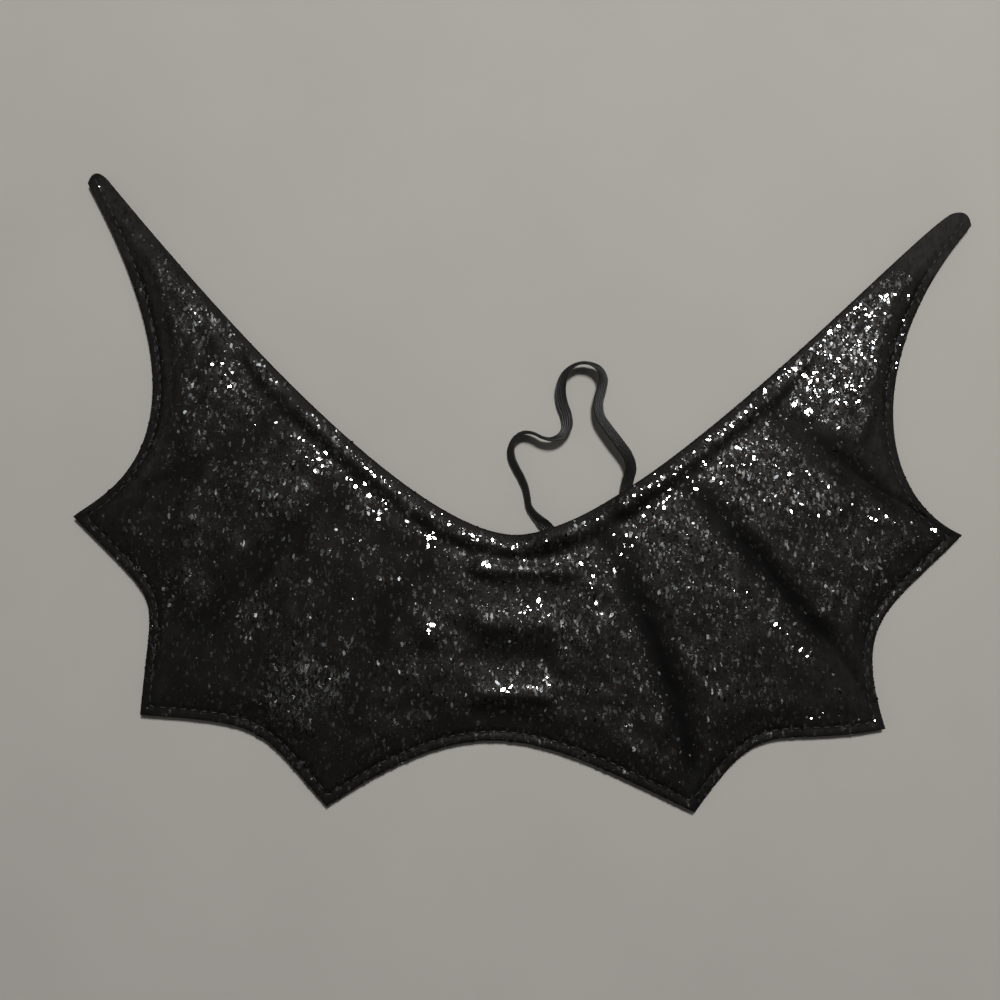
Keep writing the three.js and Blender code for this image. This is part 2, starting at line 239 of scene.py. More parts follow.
# Patches where the glitter is rubbed thin or lies thick, and one of painted light where extra glitter
# brightens the right wing: kept is the share of flakes left inside reach,
# pale how far the cloth there turns to its worn colour
WornAndPaintedLightPatch = namedtuple("WornAndPaintedLightPatch", "name x y reach kept pale")
WORN_AND_PAINTED_LIGHT_PATCHES = (
    WornAndPaintedLightPatch("right_tip", 0.1190, 0.0780, 0.0190, 0.01, 0.60),
    WornAndPaintedLightPatch("left_tip", -0.1180, 0.0740, 0.0150, 0.35, 0.45),
    WornAndPaintedLightPatch("left_of_middle", -0.0400, -0.0240, 0.0190, 0.62, 0.00),
    WornAndPaintedLightPatch("right_lower_corner", 0.0900, -0.0560, 0.0170, 0.45, 0.30),
    WornAndPaintedLightPatch("right_side_edge", 0.1090, 0.0120, 0.0150, 0.30, 0.35),
    WornAndPaintedLightPatch("left_lower_corner", -0.0870, -0.0550, 0.0150, 0.50, 0.20),
    WornAndPaintedLightPatch("left_side_point", -0.1080, -0.0080, 0.0140, 0.60, 0.20),
    WornAndPaintedLightPatch("left_bottom_scuff", -0.0555, -0.0565, 0.0080, 2.60, 0.75),
    WornAndPaintedLightPatch("left_bottom_scuff_side", -0.0655, -0.0560, 0.0072, 2.20, 0.68),
    WornAndPaintedLightPatch("left_bottom_scuff_end", -0.0612, -0.0645, 0.0064, 2.00, 0.62),
    # Painted light: extra glitter that brightens the part of the right wing that faces the light
    WornAndPaintedLightPatch("right_wing_painted_light", 0.0910, 0.0400, 0.0240, 1.25, 0.00),
    WornAndPaintedLightPatch("right_side_crease", 0.0860, 0.0100, 0.0130, 0.95, 0.20),
)

# A patch is even in its core and fades out from there, both as shares of its reach
PATCH_CORE = 0.75
PATCH_FADE = 0.5

# Share of the flakes that is taken away in the creases as painted shade, and lost in the valley just inside
# the hem's stitches; and the share that is left on the outermost strip along every edge, partly wear and
# partly painted shade, with where it ends and how soon, and how much of that strip the lower hem has
CREASE_PAINTED_SHADE = 0.98
HemWear = namedtuple("HemWear", "inset breadth outer lower pale")
HEM_WEAR = HemWear(0.0052, 0.0024, 0.88, 0.50, 0.48)
EdgeWearAndShade = namedtuple("EdgeWearAndShade", "kept end fade pale lower")
EDGE_WEAR_AND_SHADE = EdgeWearAndShade(0.25, 0.0010, 0.0014, 0.26, 0.35)

# Share of the flakes that is lost where the cloth has its worn colour
WORN_LOSS = 0.8

# The cloth's layers of values that its material reads
COVER, WORN = "cover", "worn"

# The glitter dust: its grains are drawn out along y and lie in clumps, where their usual share falls and
# rises over a range. Most tilt little and most are dark. The film lies between them, and worn cloth shows
# through in specks.
DUST_SQUEEZE = 0.5
CLUMP_SIZE = 0.007
CLUMP_RANGE = (0.3, 1.5)
DUST_TILTS = (0.20, 0.9)
DUST_TILT_POWER = 4.0
DUST_DARK_POWER = 2.0
FILM_ROUGHNESS, DUST_ROUGHNESS = 0.55, 0.42
WORN_SPECK = 0.0012
WORN_SPECK_RANGE = (0.45, 1.0)

# How much the flakes' sizes and corners differ, how far the longest are drawn out, how far their tops
# stand above the cloth and their feet reach below it, and the steepest tilt
FLAKE_SPREAD = 0.46
FLAKE_RANGE = (0.45, 2.0)
FLAKE_RAGGED = (0.8, 1.2)
FLAKE_STRETCH = 1.50
FLAKE_LIFT = 0.00009
FLAKE_FOOT = 0.00030
FLAKE_STEEPEST = math.radians(55)

# The two kinds of scattered flakes: their corners, the shares of the three tints, and the seed; and how
# rough each tint is
FlakeKind = namedtuple("FlakeKind", "name corners tints seed")
FINE_FLAKES = FlakeKind("fine_glitter", 3, (0.015, 0.10, 0.885), 21)
COARSE_FLAKES = FlakeKind("coarse_glitter", 6, (0.13, 0.08, 0.79), 22)
FLAKE_ROUGHNESS = {"silver": 0.15, "steel": 0.32, "smoke": 0.70}

# Lines of single bright flakes that stand turned to the light, how far they stray from the line, and
# their size as a share of the usual bright flake
Catch = namedtuple("Catch", "name start end count stray size")
CATCHES = (
    Catch("right_lower_ridge", (0.0545, -0.0250), (0.0885, -0.0538), 16, 0.0008, 0.65),
    Catch("right_lower_hem", (0.0730, -0.0615), (0.0960, -0.0620), 7, 0.0006, 0.55),
    Catch("right_outer_hem", (0.1084, 0.0570), (0.1029, 0.0280), 8, 0.0003, 0.45),
    Catch("right_point", (0.1075, -0.0090), (0.1160, -0.0103), 4, 0.0006, 0.7),
    Catch("right_side_ridge", (0.0470, 0.0010), (0.1060, -0.0090), 18, 0.0020, 0.65),
    Catch("right_bottom_ridge", (0.0148, -0.0195), (0.0243, -0.0368), 8, 0.0008, 0.7),
    Catch("right_tip_band", (0.0985, 0.0545), (0.1045, 0.0566), 8, 0.0008, 0.8),
    Catch("right_tip_cross", (0.0945, 0.0510), (0.1010, 0.0495), 7, 0.0007, 0.8),
    Catch("right_wing_cluster", (0.0865, 0.0283), (0.0935, 0.0265), 22, 0.0021, 0.75),
    Catch("right_wing_scatter", (0.0830, 0.0310), (0.0980, 0.0460), 30, 0.0026, 0.55),
    Catch("right_wing_bright", (0.0777, 0.0215), (0.0805, 0.0224), 6, 0.0004, 0.9),
    Catch("right_edge_cluster", (0.0761, 0.0347), (0.0794, 0.0316), 8, 0.0006, 0.8),
    Catch("collar_bright", (-0.0110, -0.0225), (-0.0083, -0.0235), 7, 0.0005, 0.75),
    Catch("upper_roll_bright", (-0.0028, -0.0386), (0.0050, -0.0325), 8, 0.0010, 0.75),
    Catch("lower_roll_bright", (-0.0063, -0.0560), (0.0035, -0.0542), 7, 0.0006, 0.75),
    Catch("right_of_neck", (0.0252, -0.0182), (0.0337, -0.0130), 9, 0.0013, 0.75),
    Catch("left_shoulder", (-0.0870, 0.0325), (-0.0795, 0.0225), 7, 0.0014, 0.8),
    Catch("left_of_centre", (-0.0250, -0.0392), (-0.0244, -0.0408), 5, 0.0005, 0.9),
    Catch("left_tip", (-0.1245, 0.0853), (-0.1227, 0.0815), 3, 0.0004, 0.4),
    Catch("right_upper_ridge", (0.0461, -0.0012), (0.0642, 0.0095), 14, 0.0012, 0.65),
    Catch("right_upper_slope", (0.0656, 0.0090), (0.0849, -0.0004), 13, 0.0014, 0.65),
    Catch("left_edge_cluster", (-0.0428, -0.0080), (-0.0402, -0.0096), 7, 0.0007, 0.8),
    Catch("left_upper_cluster", (-0.0605, 0.0058), (-0.0565, 0.0030), 7, 0.0007, 0.7),
    Catch("left_neck_cluster", (-0.0275, -0.0150), (-0.0240, -0.0172), 8, 0.0012, 0.45),
)

# How far the bright flakes are turned off the light, their corners and their seed
CATCH_TILT = math.radians(3.5)
CATCH_CORNERS = 6
CATCH_SEED = 23

# Lines of bright flakes along the top edge: row is the row of facets that they lie on, left and right
# where they end
EdgeCatch = namedtuple("EdgeCatch", "name row left right count stray size")
EDGE_CATCHES = (
    EdgeCatch("right_roll", 3.0, 0.0330, 0.0960, 60, 0.0006, 0.60),
    EdgeCatch("neck_roll", 3.0, -0.0110, 0.0320, 18, 0.0004, 0.55),
    EdgeCatch("left_roll", 3.0, -0.0560, -0.0120, 20, 0.0004, 0.50),
    EdgeCatch("right_shoulder", 8.5, 0.0250, 0.0560, 20, 0.0008, 0.70),
    EdgeCatch("left_shoulder", 8.5, -0.0640, -0.0140, 24, 0.0008, 0.65),
)

# Stitches: rings and sides of a thread, the corners of the faces that close an end, the share of the pitch
# that shows, how thin the ends are, and the arch's height and fall in threads. A seam is traced in steps
# of a stitch, and left out where it comes nearer to another edge than a share of its inset.
STITCH_RINGS, STITCH_SIDES = 7, 6
STITCH_CAP = ((0, 1, 2, 3), (0, 3, 4, 5))
STITCH_SHARE = 0.74
STITCH_END = 0.25
STITCH_ARCH = (0.28, 0.62)
SEAM_TRACE_STEPS = 8
SEAM_CLEAR_SHARE = 0.97

# Plain finishes: the second tone as a multiple of the colour, the size of its patches, and the size of the
# grain over which the roughness runs from least to most
Finish = namedtuple("Finish", "tone patch grain least most")
BACKING_FINISH = Finish(1.7, 0.010, 0.002, 0.75, 0.95)
ELASTIC_FINISH = Finish(1.6, 0.0020, 0.0008, 0.32, 0.50)
THREAD_FINISH = Finish(1.8, 0.0015, 0.0004, 0.35, 0.6)
FLOOR_FINISH = Finish(0.96, 0.05, 0.01, 0.85, 0.95)

# Fine relief of the backing's weave and the elastic's braid
WEAVE_PITCH, WEAVE_DEPTH, WEAVE_STRENGTH = 0.0006, 0.00010, 0.8
BRAID_GRAIN, BRAID_DEPTH, BRAID_STRENGTH, BRAID_DETAIL = 0.00025, 0.00005, 0.5, 2.0

# The middle of the range of a noise texture, which is spread over the range that is asked for
NOISE_RANGE = (0.3, 0.7)

# Camera: where the middle of the picture falls on the surface, how far off it stands and how it leans
AIM = (-0.00639, -0.00418, 0.0)
CAMERA_DISTANCE = 0.272
CAMERA_LEAN = math.radians(6.7)
CAMERA_YAW = math.radians(1.2)
SENSOR_WIDTH = 36.0
FOCAL_LENGTH = 35.03

# Lights
KEY_PLACE = (0.150, 0.480, 1.000)
FILL_PLACES = {"left_fill": (-1.20, -0.30, 0.90), "right_fill": (1.20, 0.20, 0.90)}
FILL_SIZE = 1.1
ROOM_COLOUR = (0.95, 0.97, 1.0, 1.0)

# Floor: the radius of its middle facet, of its flat and of the bend up to its wall, and the wall's height;
# its facets; and how little it lies below the wings
FLOOR_MIDDLE, FLOOR_RADIUS, FLOOR_BEND, FLOOR_WALL = 0.05, 1.6, 0.9, 2.4
FLOOR_SIDES, FLOOR_STEPS = 64, 12
FLOOR_GAP = 0.00005


# Settings


def length_setting(name, description, default, low, high):
    """A length in metres."""
    return FloatProperty(
        name=name, description=description, default=default, min=low, max=high, unit="LENGTH")


def share_setting(name, description, default):
    """A share of the whole."""
    return FloatProperty(
        name=name, description=description, default=default, min=0.0, max=1.0, subtype="FACTOR")


def colour_setting(name, description, default):
    """A plain colour."""
    return FloatVectorProperty(
        name=name, description=description, default=default, size=3, min=0.0, max=1.0, subtype="COLOR")


class BatWingsCloth(bpy.types.PropertyGroup):
    """Sizes and colours of the two cloths"""

    front_thickness: length_setting(
        "Front thickness", "Thickness of the glitter cloth", 0.0012, 0.0006, 0.003)
    backing_thickness: length_setting(
        "Backing thickness", "Thickness of the plain backing", BACKING_TOP, 0.0004, 0.003)
    roll_height: length_setting(
        "Top roll height", "How far the roll along the top edge stands up", 0.00100, 0.0, 0.003)
    puff: share_setting(
        "Puff", "Height of the puffs between the creases, as a share of the plumpest", 0.62)
    lump_height: length_setting(
        "Lump height", "Height of the broad lumps in the puffed cloth", 0.00011, 0.0, 0.001)
    lump_length: length_setting(
        "Lump length", "Distance from one broad lump to the next", 0.016, 0.004, 0.05)
    crumple_height: length_setting(
        "Crumple height", "Height of the fine crumples in the glitter cloth", 0.00007, 0.0, 0.0005)
    crumple_length: length_setting(
        "Crumple length", "Distance from one fine crumple to the next", 0.0055, 0.001, 0.02)
    seam_depth: length_setting(
        "Seam depth", "How far the hem's stitches pull the cloth down", 0.00030, 0.0, 0.001)
    cloth_colour: colour_setting(
        "Cloth colour", "Colour of the glitter cloth under its flakes", (0.0034, 0.0032, 0.0033))
    worn_colour: colour_setting(
        "Worn colour", "Colour of the cloth where the glitter is rubbed thin", (0.0560, 0.0530, 0.0490))
    backing_colour: colour_setting(
        "Backing colour", "Colour of the plain backing", (0.0042, 0.0040, 0.0039))


class BatWingsGlitter(bpy.types.PropertyGroup):
    """Numbers, sizes and colours of the flakes and the dust"""

    fine_count: IntProperty(
        name="Fine flakes", description="Number of fine flakes on the front cloth",
        default=47000, min=0, max=50000)
    coarse_count: IntProperty(
        name="Coarse flakes", description="Number of coarse six-sided flakes on the front cloth",
        default=6500, min=0, max=19000)
    fine_size: length_setting("Fine flake size", "Distance across a fine flake", 0.00038, 0.0001, 0.002)
    coarse_size: length_setting(
        "Coarse flake size", "Distance across a coarse flake", 0.00062, 0.0002, 0.003)
    bright_size: length_setting(
        "Bright flake size", "Distance across the single bright flakes", 0.00085, 0.0002, 0.003)
    dust_size: length_setting(
        "Dust size", "Distance across a grain of the glitter dust between the flakes",
        0.00060, 0.0001, 0.001)
    dust_share: share_setting("Dust share", "Share of the cloth that the glitter dust covers", 0.32)
    lying_tilt: FloatProperty(
        name="Lying tilt", description="Usual tilt of the flakes that lie flat on the cloth",
        default=math.radians(2.6), min=0.0, max=math.radians(45), subtype="ANGLE")
    loose_tilt: FloatProperty(
        name="Loose tilt", description="Usual tilt of the flakes that stand off the cloth",
        default=math.radians(16), min=0.0, max=math.radians(60), subtype="ANGLE")
    loose_share: share_setting("Loose share", "Share of the flakes that stand off the cloth", 0.08)
    silver: colour_setting("Silver flakes", "Colour of the brightest flakes", (0.465, 0.470, 0.475))
    steel: colour_setting("Steel flakes", "Colour of the blue-grey flakes", (0.150, 0.161, 0.171))
    smoke: colour_setting("Smoke flakes", "Colour of the dark flakes", (0.0220, 0.0206, 0.0188))
    dust: colour_setting(
        "Bright dust", "Colour of the brightest grains of the glitter dust", (0.104, 0.102, 0.098))


class BatWingsStitches(bpy.types.PropertyGroup):
    """Place, size and colour of the stitches"""

    inset: length_setting(
        "Hem inset", "Distance of the hem's stitches from the edge", 0.0025, 0.001, 0.006)
    pitch: length_setting("Stitch pitch", "Distance from one stitch to the next", 0.0028, 0.001, 0.006)
    thread: length_setting("Thread thickness", "Thickness of the sewing thread", 0.00036, 0.0001, 0.001)
    colour: colour_setting("Thread colour", "Colour of the sewing thread", (0.013, 0.013, 0.014))


class BatWingsElastic(bpy.types.PropertyGroup):
    """Size and colour of the elastic"""

    width: length_setting("Width", "Width of the flat elastic", 0.0032, 0.001, 0.01)
    thickness: length_setting("Thickness", "Thickness of the flat elastic", 0.0009, 0.0003, 0.003)
    cords: IntProperty(
        name="Cords", description="Number of rubber cords side by side in the braid",
        default=5, min=2, max=16)
    colour: colour_setting("Colour", "Colour of the elastic's braid", (0.0042, 0.0043, 0.0035))


class BatWingsStage(bpy.types.PropertyGroup):
    """Floor and lights"""

    floor_colour: colour_setting("Floor colour", "Colour of the plain floor", (0.57, 0.55, 0.505))
    key_power: FloatProperty(
        name="Key power", description="Power of the main soft light in watts",
        default=8.0, min=0.0, max=200.0)
    key_size: length_setting("Key size", "Width of the main soft light", 0.20, 0.02, 2.0)
    fill_power: FloatProperty(
        name="Fill power", description="Power of each of the two broad side lights in watts",
        default=0.9, min=0.0, max=200.0)
    sky: FloatProperty(
        name="Room light", description="Strength of the even light of the room",
        default=0.035, min=0.0, max=2.0)


class BatWingsSettings(bpy.types.PropertyGroup):
    """All settings of the wings"""

    cloth: PointerProperty(type=BatWingsCloth)
    glitter: PointerProperty(type=BatWingsGlitter)
    stitches: PointerProperty(type=BatWingsStitches)
    elastic: PointerProperty(type=BatWingsElastic)
    stage: PointerProperty(type=BatWingsStage)


# Small shapes of numbers


def mix(a, b, share):
    """A share of the way from a to b."""
    return a + (b - a) * share


def hill(distance, breadth):
    """A rounded hill of a given breadth, 1 at its top."""
    return np.exp(-((distance / breadth) ** 2))


def rise(distance, breadth):
    """A smooth rise from 0 to 1 over a given breadth."""
    t = np.clip(distance / breadth, 0.0, 1.0)
    return t * t * (3 - 2 * t)


def set_in(distance, onset):
    """A smooth rise from 0 to 1 where a feature sets in."""
    return rise(distance - onset.start, onset.fade)


def crumple(points, length, seed):
    """Smooth random relief of about unit height, from plane waves of nearly one length."""
    rng = np.random.default_rng(seed)
    heading = rng.uniform(0, math.tau, CRUMPLE_WAVES)
    number = math.tau / (length * rng.uniform(*CRUMPLE_LENGTHS, CRUMPLE_WAVES))
    phase = rng.uniform(0, math.tau, CRUMPLE_WAVES)
    angle = phase + points[..., 0, None] * (np.cos(heading) * number)
    angle += points[..., 1, None] * (np.sin(heading) * number)
    return np.cos(angle).sum(-1) * math.sqrt(2 / CRUMPLE_WAVES)


def unit(vectors):
    """The same directions, each of length 1."""
    return vectors / np.linalg.norm(vectors, axis=-1, keepdims=True)


# The wings' outline and surface


def edge_curve(start, end, leave, arrive):
    """Points of a cubic curve whose handles are steps from its two ends."""
    t = np.linspace(0, 1, CURVE_SAMPLES)[:, None]
    a, d = np.array(start), np.array(end)
    b, c = a + leave, d + arrive
    return (1 - t) ** 3 * a + 3 * (1 - t) ** 2 * t * b + 3 * (1 - t) * t ** 2 * c + t ** 3 * d


def curve_lengths(curve):
    """Length along a line of points, from 0 at its first point."""
    return np.concatenate([[0.0], np.cumsum(np.linalg.norm(np.diff(curve, axis=0), axis=1))])


def at_lengths(curve, lengths):
    """Points of a line at given lengths along it."""
    own = curve_lengths(curve)
    return np.stack([np.interp(lengths, own, curve[:, k]) for k in range(curve.shape[1])], axis=-1)


def top_edge_points(x):
    """Points of the top edge at given x."""
    left = edge_curve(NECK, *LEFT_TOP)[::-1]
    right = edge_curve(NECK, *RIGHT_TOP)
    curve = np.concatenate([left, right[1:]])
    return np.stack([x, np.interp(x, curve[:, 0], curve[:, 1])], axis=-1)


Columns = namedtuple("Columns", "panel share top hem bow length")


def columns_at(panel, share):
    """Bowed lines from the top edge to the hem, each a share of the way across its panel."""
    root_x = np.array([rib.root_x for rib in RIBS])
    bow = np.array([rib.bow for rib in RIBS])
    top = top_edge_points(mix(root_x[panel], root_x[panel + 1], share))
    hem = np.empty_like(top)
    for i, (piece, before, after) in enumerate(zip(PANELS, RIBS, RIBS[1:])):
        curve = edge_curve(before.point, after.point, piece.leave, piece.arrive)
        mine = panel == i
        hem[mine] = at_lengths(curve, share[mine] * curve_lengths(curve)[-1])
    length = np.linalg.norm(hem - top, axis=1)
    return Columns(panel, share, top, hem, mix(bow[panel], bow[panel + 1], share), length)


def make_columns(per_panel):
    """All columns from the left tip to the right one, crowded a little towards the ribs."""
    even = np.arange(1, per_panel + 1) / per_panel
    shares = mix(even, 0.5 - 0.5 * np.cos(math.pi * even), COLUMN_CROWDING)
    panel = np.concatenate([[0], np.repeat(np.arange(len(PANELS)), per_panel)])
    return columns_at(panel, np.concatenate([[0.0], np.tile(shares, len(PANELS))]))


def column_points(columns, along):
    """Points a share of the way along each column: columns by rows by x and y."""
    run = columns.hem - columns.top
    swing = 4 * along * (1 - along) * (columns.bow / columns.length)[:, None]
    across = np.stack([-run[:, 1], run[:, 0]], axis=-1)
    return columns.top[:, None] + run[:, None] * along[..., None] + across[:, None] * swing[..., None]


def row_distances(length, middle_rows):
    """Distances of the rows from the top edge: close together near both edges."""
    squeeze = np.minimum(1, length / FULL_LENGTH)[:, None]
    top = np.array(TOP_ROWS) * MILLIMETRE * squeeze
    hem = length[:, None] - np.array(HEM_ROWS) * MILLIMETRE * squeeze
    share = np.arange(1, middle_rows + 1) / (middle_rows + 1)
    return np.concatenate([top, mix(top[:, -1:], hem[:, :1], share), hem], axis=1)


def panel_puff(panel, share):
    """Puff across a panel, level with its neighbours' where they meet at a rib."""
    puff = np.array([p.puff for p in PANELS])
    padded = np.concatenate([puff[:1], puff, puff[-1:]])
    before, own, after = padded[panel], padded[panel + 1], padded[panel + 2]
    meeting = mix((own + before) / 2, (own + after) / 2, share)
    return mix(meeting, own, 4 * share * (1 - share))


def crease_share(rib, past):
    """How much of a crease's depth holds at a distance past its rib."""
    from_line = past - rib.shift
    return rib.depth * hill(from_line, np.where(from_line < 0, rib.before, rib.after))


def border_of(grid):
    """The grid's border points in order: down the left tip, along the hem, up the right tip and back."""
    return np.concatenate([grid[0, :-1], grid[:-1, -1], grid[-1, :0:-1], grid[:0:-1, 0]])


def to_border(points, border):
    """Distance of each point from a closed border, and how far along the border its nearest point is."""
    ends = np.roll(border, -1, axis=0)
    run = ends - border
    size = np.maximum((run ** 2).sum(1), LEAST_SQUARE)
    start = np.concatenate([[0.0], np.cumsum(np.sqrt(size))[:-1]])
    flat = points.reshape(-1, 2)
    distance, place = np.empty(len(flat)), np.empty(len(flat))
    for first in range(0, len(flat), POINTS_AT_ONCE):
        part = slice(first, first + POINTS_AT_ONCE)
        step = flat[part, None] - border
        t = np.clip((step * run).sum(-1) / size, 0, 1)
        gap = ((step - t[..., None] * run) ** 2).sum(-1)
        best = gap.argmin(1)
        chosen = np.arange(len(best))
        distance[part] = np.sqrt(gap[chosen, best])
        place[part] = start[best] + t[chosen, best] * np.sqrt(size[best])
    return distance.reshape(points.shape[:-1]), place.reshape(points.shape[:-1])


def from_ribs(columns, along):
    """Distances past the rib before each column and short of the rib after it, the latter below 0."""
    none, whole = np.zeros_like(columns.share), np.ones_like(columns.share)
    before, after = (column_points(columns_at(columns.panel, share), along) for share in (none, whole))
    width = np.linalg.norm(after - before, axis=-1)
    return columns.share[:, None] * width, (columns.share[:, None] - 1) * width


def creases_on(columns, past_before, past_after):
    """Share of the puff that the creases take away."""
    left = np.ones_like(past_before)
    for i, rib in enumerate(RIBS):
        after, before = columns.panel == i, columns.panel == i - 1
        left[after] *= 1 - crease_share(rib, past_before[after])
        left[before] *= 1 - crease_share(rib, past_after[before])
    return 1 - left


def puff_rise(columns, distance, groove, past_before, past_after):
    """Share of the puff's full height: a low shoulder below the groove, then a long rise to the hem."""
    length = columns.length[:, None]
    inside = distance - groove
    slow = rise(inside, np.minimum(PUFF_REACH, PUFF_REACH_SHARE * length))
    share = mix(slow, rise(inside, TOP_SHOULDER), TOP_SHOULDER_SHARE)
    share = share * rise(length - distance, HEM_SHOULDER)
    first, last = columns.panel == 0, columns.panel == len(PANELS) - 1
    share[first] *= rise(past_before[first], HEM_SHOULDER)
    share[last] *= rise(-past_after[last], HEM_SHOULDER)
    return share


def swell_height(points, swell):
    """Height of one rounded swell, longer along its heading than across."""
    heading = math.radians(swell.heading)
    x, y = points[..., 0] - swell.x, points[..., 1] - swell.y
    along = x * math.cos(heading) + y * math.sin(heading)
    across = y * math.cos(heading) - x * math.sin(heading)
    return swell.height * hill(along, swell.along) * hill(across, swell.across)


def broad_height(columns, distance, points, edge, cloth):
    """Height of the front cloth's face with its roll, puffs, centre rolls and swells, and its creases."""
    past_before, past_after = from_ribs(columns, distance / columns.length[:, None])
    crease = creases_on(columns, past_before, past_after)
    crease = crease * mix(CREASE_TOP_SHARE, 1, rise(distance - GROOVE_DISTANCE, CREASE_TOP_FADE))
    shallow = 1 - FLAT_WING_SHARE * rise(np.abs(points[:, :1, 0]) - FLAT_WING_START, FLAT_WING_FADE)
    puff = cloth.puff * panel_puff(columns.panel, columns.share)[:, None]
    puff = puff * puff_rise(columns, distance, GROOVE_DISTANCE * shallow, past_before, past_after)
    puff += sum(swell_height(points, swell) for swell in SWELLS) * rise(edge, SWELL_EDGE_FADE)

    height = FRONT_UNDER + cloth.front_thickness + puff * (1 - crease)
    roll = hill(distance - ROLL_CENTRE, ROLL_BREADTH) * rise(columns.length, ROLL_TIP_FADE)[:, None]
    height += cloth.roll_height * roll * shallow
    for piece in CENTRE_ROLLS:
        ends = rise(piece.half - np.abs(points[..., 0] - piece.x), ROLL_END_FADE)
        height += piece.height * hill(points[..., 1] - piece.y, piece.breadth) * ends
    for place in ELASTIC_EXITS:
        height += SEAM_LIFT * hill(np.linalg.norm(points - place, axis=-1), SEAM_LIFT_REACH)
    return height, crease


Surface = namedtuple("Surface", "face under cover worn border")


def rounded_edge(distance, radius):
    """How far a cloth's face drops near its edge, so that the edge is round and nearly closed."""
    t = 1 - np.clip(distance / radius, 0, 1)
    return EDGE_ROUNDING * radius * (1 - np.sqrt(1 - t * t))


def glitter_wear_and_painted_light(columns, points, edge, crease, hem_side):
    """Share of the flakes that are left at each point, with painted shade in the creases and along the
    edges and painted light on the right wing, and how far the cloth has its worn colour there.
    """
    left, pale = np.ones(points.shape[:-1]), np.zeros(points.shape[:-1])
    for patch in WORN_AND_PAINTED_LIGHT_PATCHES:
        gap = np.hypot(points[..., 0] - patch.x, points[..., 1] - patch.y)
        outside = rise(gap - PATCH_CORE * patch.reach, PATCH_FADE * patch.reach)
        left *= mix(patch.kept, 1.0, outside)
        pale = np.maximum(pale, patch.pale * (1 - outside))

    outer = (columns.panel == 0) | (columns.panel == len(PANELS) - 1)
    valley = np.where(outer, HEM_WEAR.outer, HEM_WEAR.lower)[:, None] * hem_side
    valley = valley * hill(edge - HEM_WEAR.inset, HEM_WEAR.breadth)
    # The strip along every edge loses flakes as painted shade, and turns partly to the worn colour as wear
    strip = 1 - rise(edge - EDGE_WEAR_AND_SHADE.end, EDGE_WEAR_AND_SHADE.fade)
    strip = strip * np.where(outer[:, None], 1, mix(1, EDGE_WEAR_AND_SHADE.lower, hem_side))
    # Painted shade: the creases lose their flakes, so that they read dark
    left = left * np.clip(1 - CREASE_PAINTED_SHADE * crease, 0, 1) * (1 - valley)
    left = left * mix(1.0, EDGE_WEAR_AND_SHADE.kept, strip)
    pale = np.maximum(pale, np.maximum(HEM_WEAR.pale * valley, EDGE_WEAR_AND_SHADE.pale * strip))
    return left, pale


def lay_out(per_panel, middle_rows):
    """A cloth's columns and points with their distances from the top edge, its border, the points'
    distances from the border and how far along it they are."""
    columns = make_columns(per_panel)
    distance = row_distances(columns.length, middle_rows)
    points = column_points(columns, distance / columns.length[:, None])
    border = border_of(points)
    return columns, points, distance, border, *to_border(points, border)


def front_surface(cloth, stitches):
    """The glitter cloth as two grids of points, its face and its underside."""
    columns, points, distance, border, edge, place = lay_out(COLUMNS_PER_PANEL, MIDDLE_ROWS)
    broad, crease = broad_height(columns, distance, points, edge, cloth)
    hem_side = set_in(distance, HEM_ONSET)

    fine = cloth.lump_height * crumple(points, cloth.lump_length, LUMP_SEED) * set_in(edge, LUMP_ONSET)
    crumples = cloth.crumple_height * crumple(points, cloth.crumple_length, CRUMPLE_SEED)
    fine += crumples * set_in(edge, CRUMPLE_ONSET)
    pull = 1 + STITCH_PULL * np.cos(math.tau * place / stitches.pitch)
    fine -= cloth.seam_depth * hill(edge - stitches.inset, SEAM_BREADTH) * hem_side * pull
    drop = rounded_edge(edge, cloth.front_thickness / 2)
    face = np.dstack([points, broad + fine - drop])
    under = np.dstack([points, broad - cloth.front_thickness + drop])
    cover, worn = glitter_wear_and_painted_light(columns, points, edge, crease, hem_side)
    return Surface(face, under, cover, worn, border)


def backing_surface(cloth, stitches):
    """The plain backing as two grids of points: flat, with a shallow groove for the stitches below."""
    _, points, _, border, edge, _ = lay_out(COLUMNS_PER_PANEL // 2, MIDDLE_ROWS // 3)
    drop = rounded_edge(edge, cloth.backing_thickness / 2)
    groove = BACKING_SEAM_DEPTH * hill(edge - stitches.inset, BACKING_SEAM_BREADTH)
    face = np.dstack([points, cloth.backing_thickness - drop])
    under = np.dstack([points, CAD_LOW.z + drop + groove])
    return Surface(face, under, None, None, border)


def grid_normals(grid):
    """Upward normals of a grid of points."""
    return unit(np.cross(np.gradient(grid, axis=1), np.gradient(grid, axis=0)))


# Meshes


def new_piece(name, points, faces, slot, materials, smooth=True):
    """A mesh object that rides on the part's one body, with the given materials; the slot is not used."""
    mesh = bpy.data.meshes.new(name)
    mesh.vertices.add(len(points))
    mesh.vertices.foreach_set("co", np.asarray(points, np.float32).ravel())
    mesh.loops.add(faces.size)
    mesh.loops.foreach_set("vertex_index", np.asarray(faces, np.int32).ravel())
    mesh.polygons.add(len(faces))
    mesh.polygons.foreach_set("loop_start", np.arange(0, faces.size, faces.shape[1], dtype=np.int32))
    mesh.polygons.foreach_set("use_smooth", np.full(len(faces), smooth))
    mesh.update(calc_edges=True)
    if mesh.validate():
        raise RuntimeError(f"{name} has faces that aren't sound")
    for material in materials:
        mesh.materials.append(material)
    piece = bpy.data.objects.new(name, mesh)
    bpy.context.scene.collection.objects.link(piece)
    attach(piece, "root")
    return piece


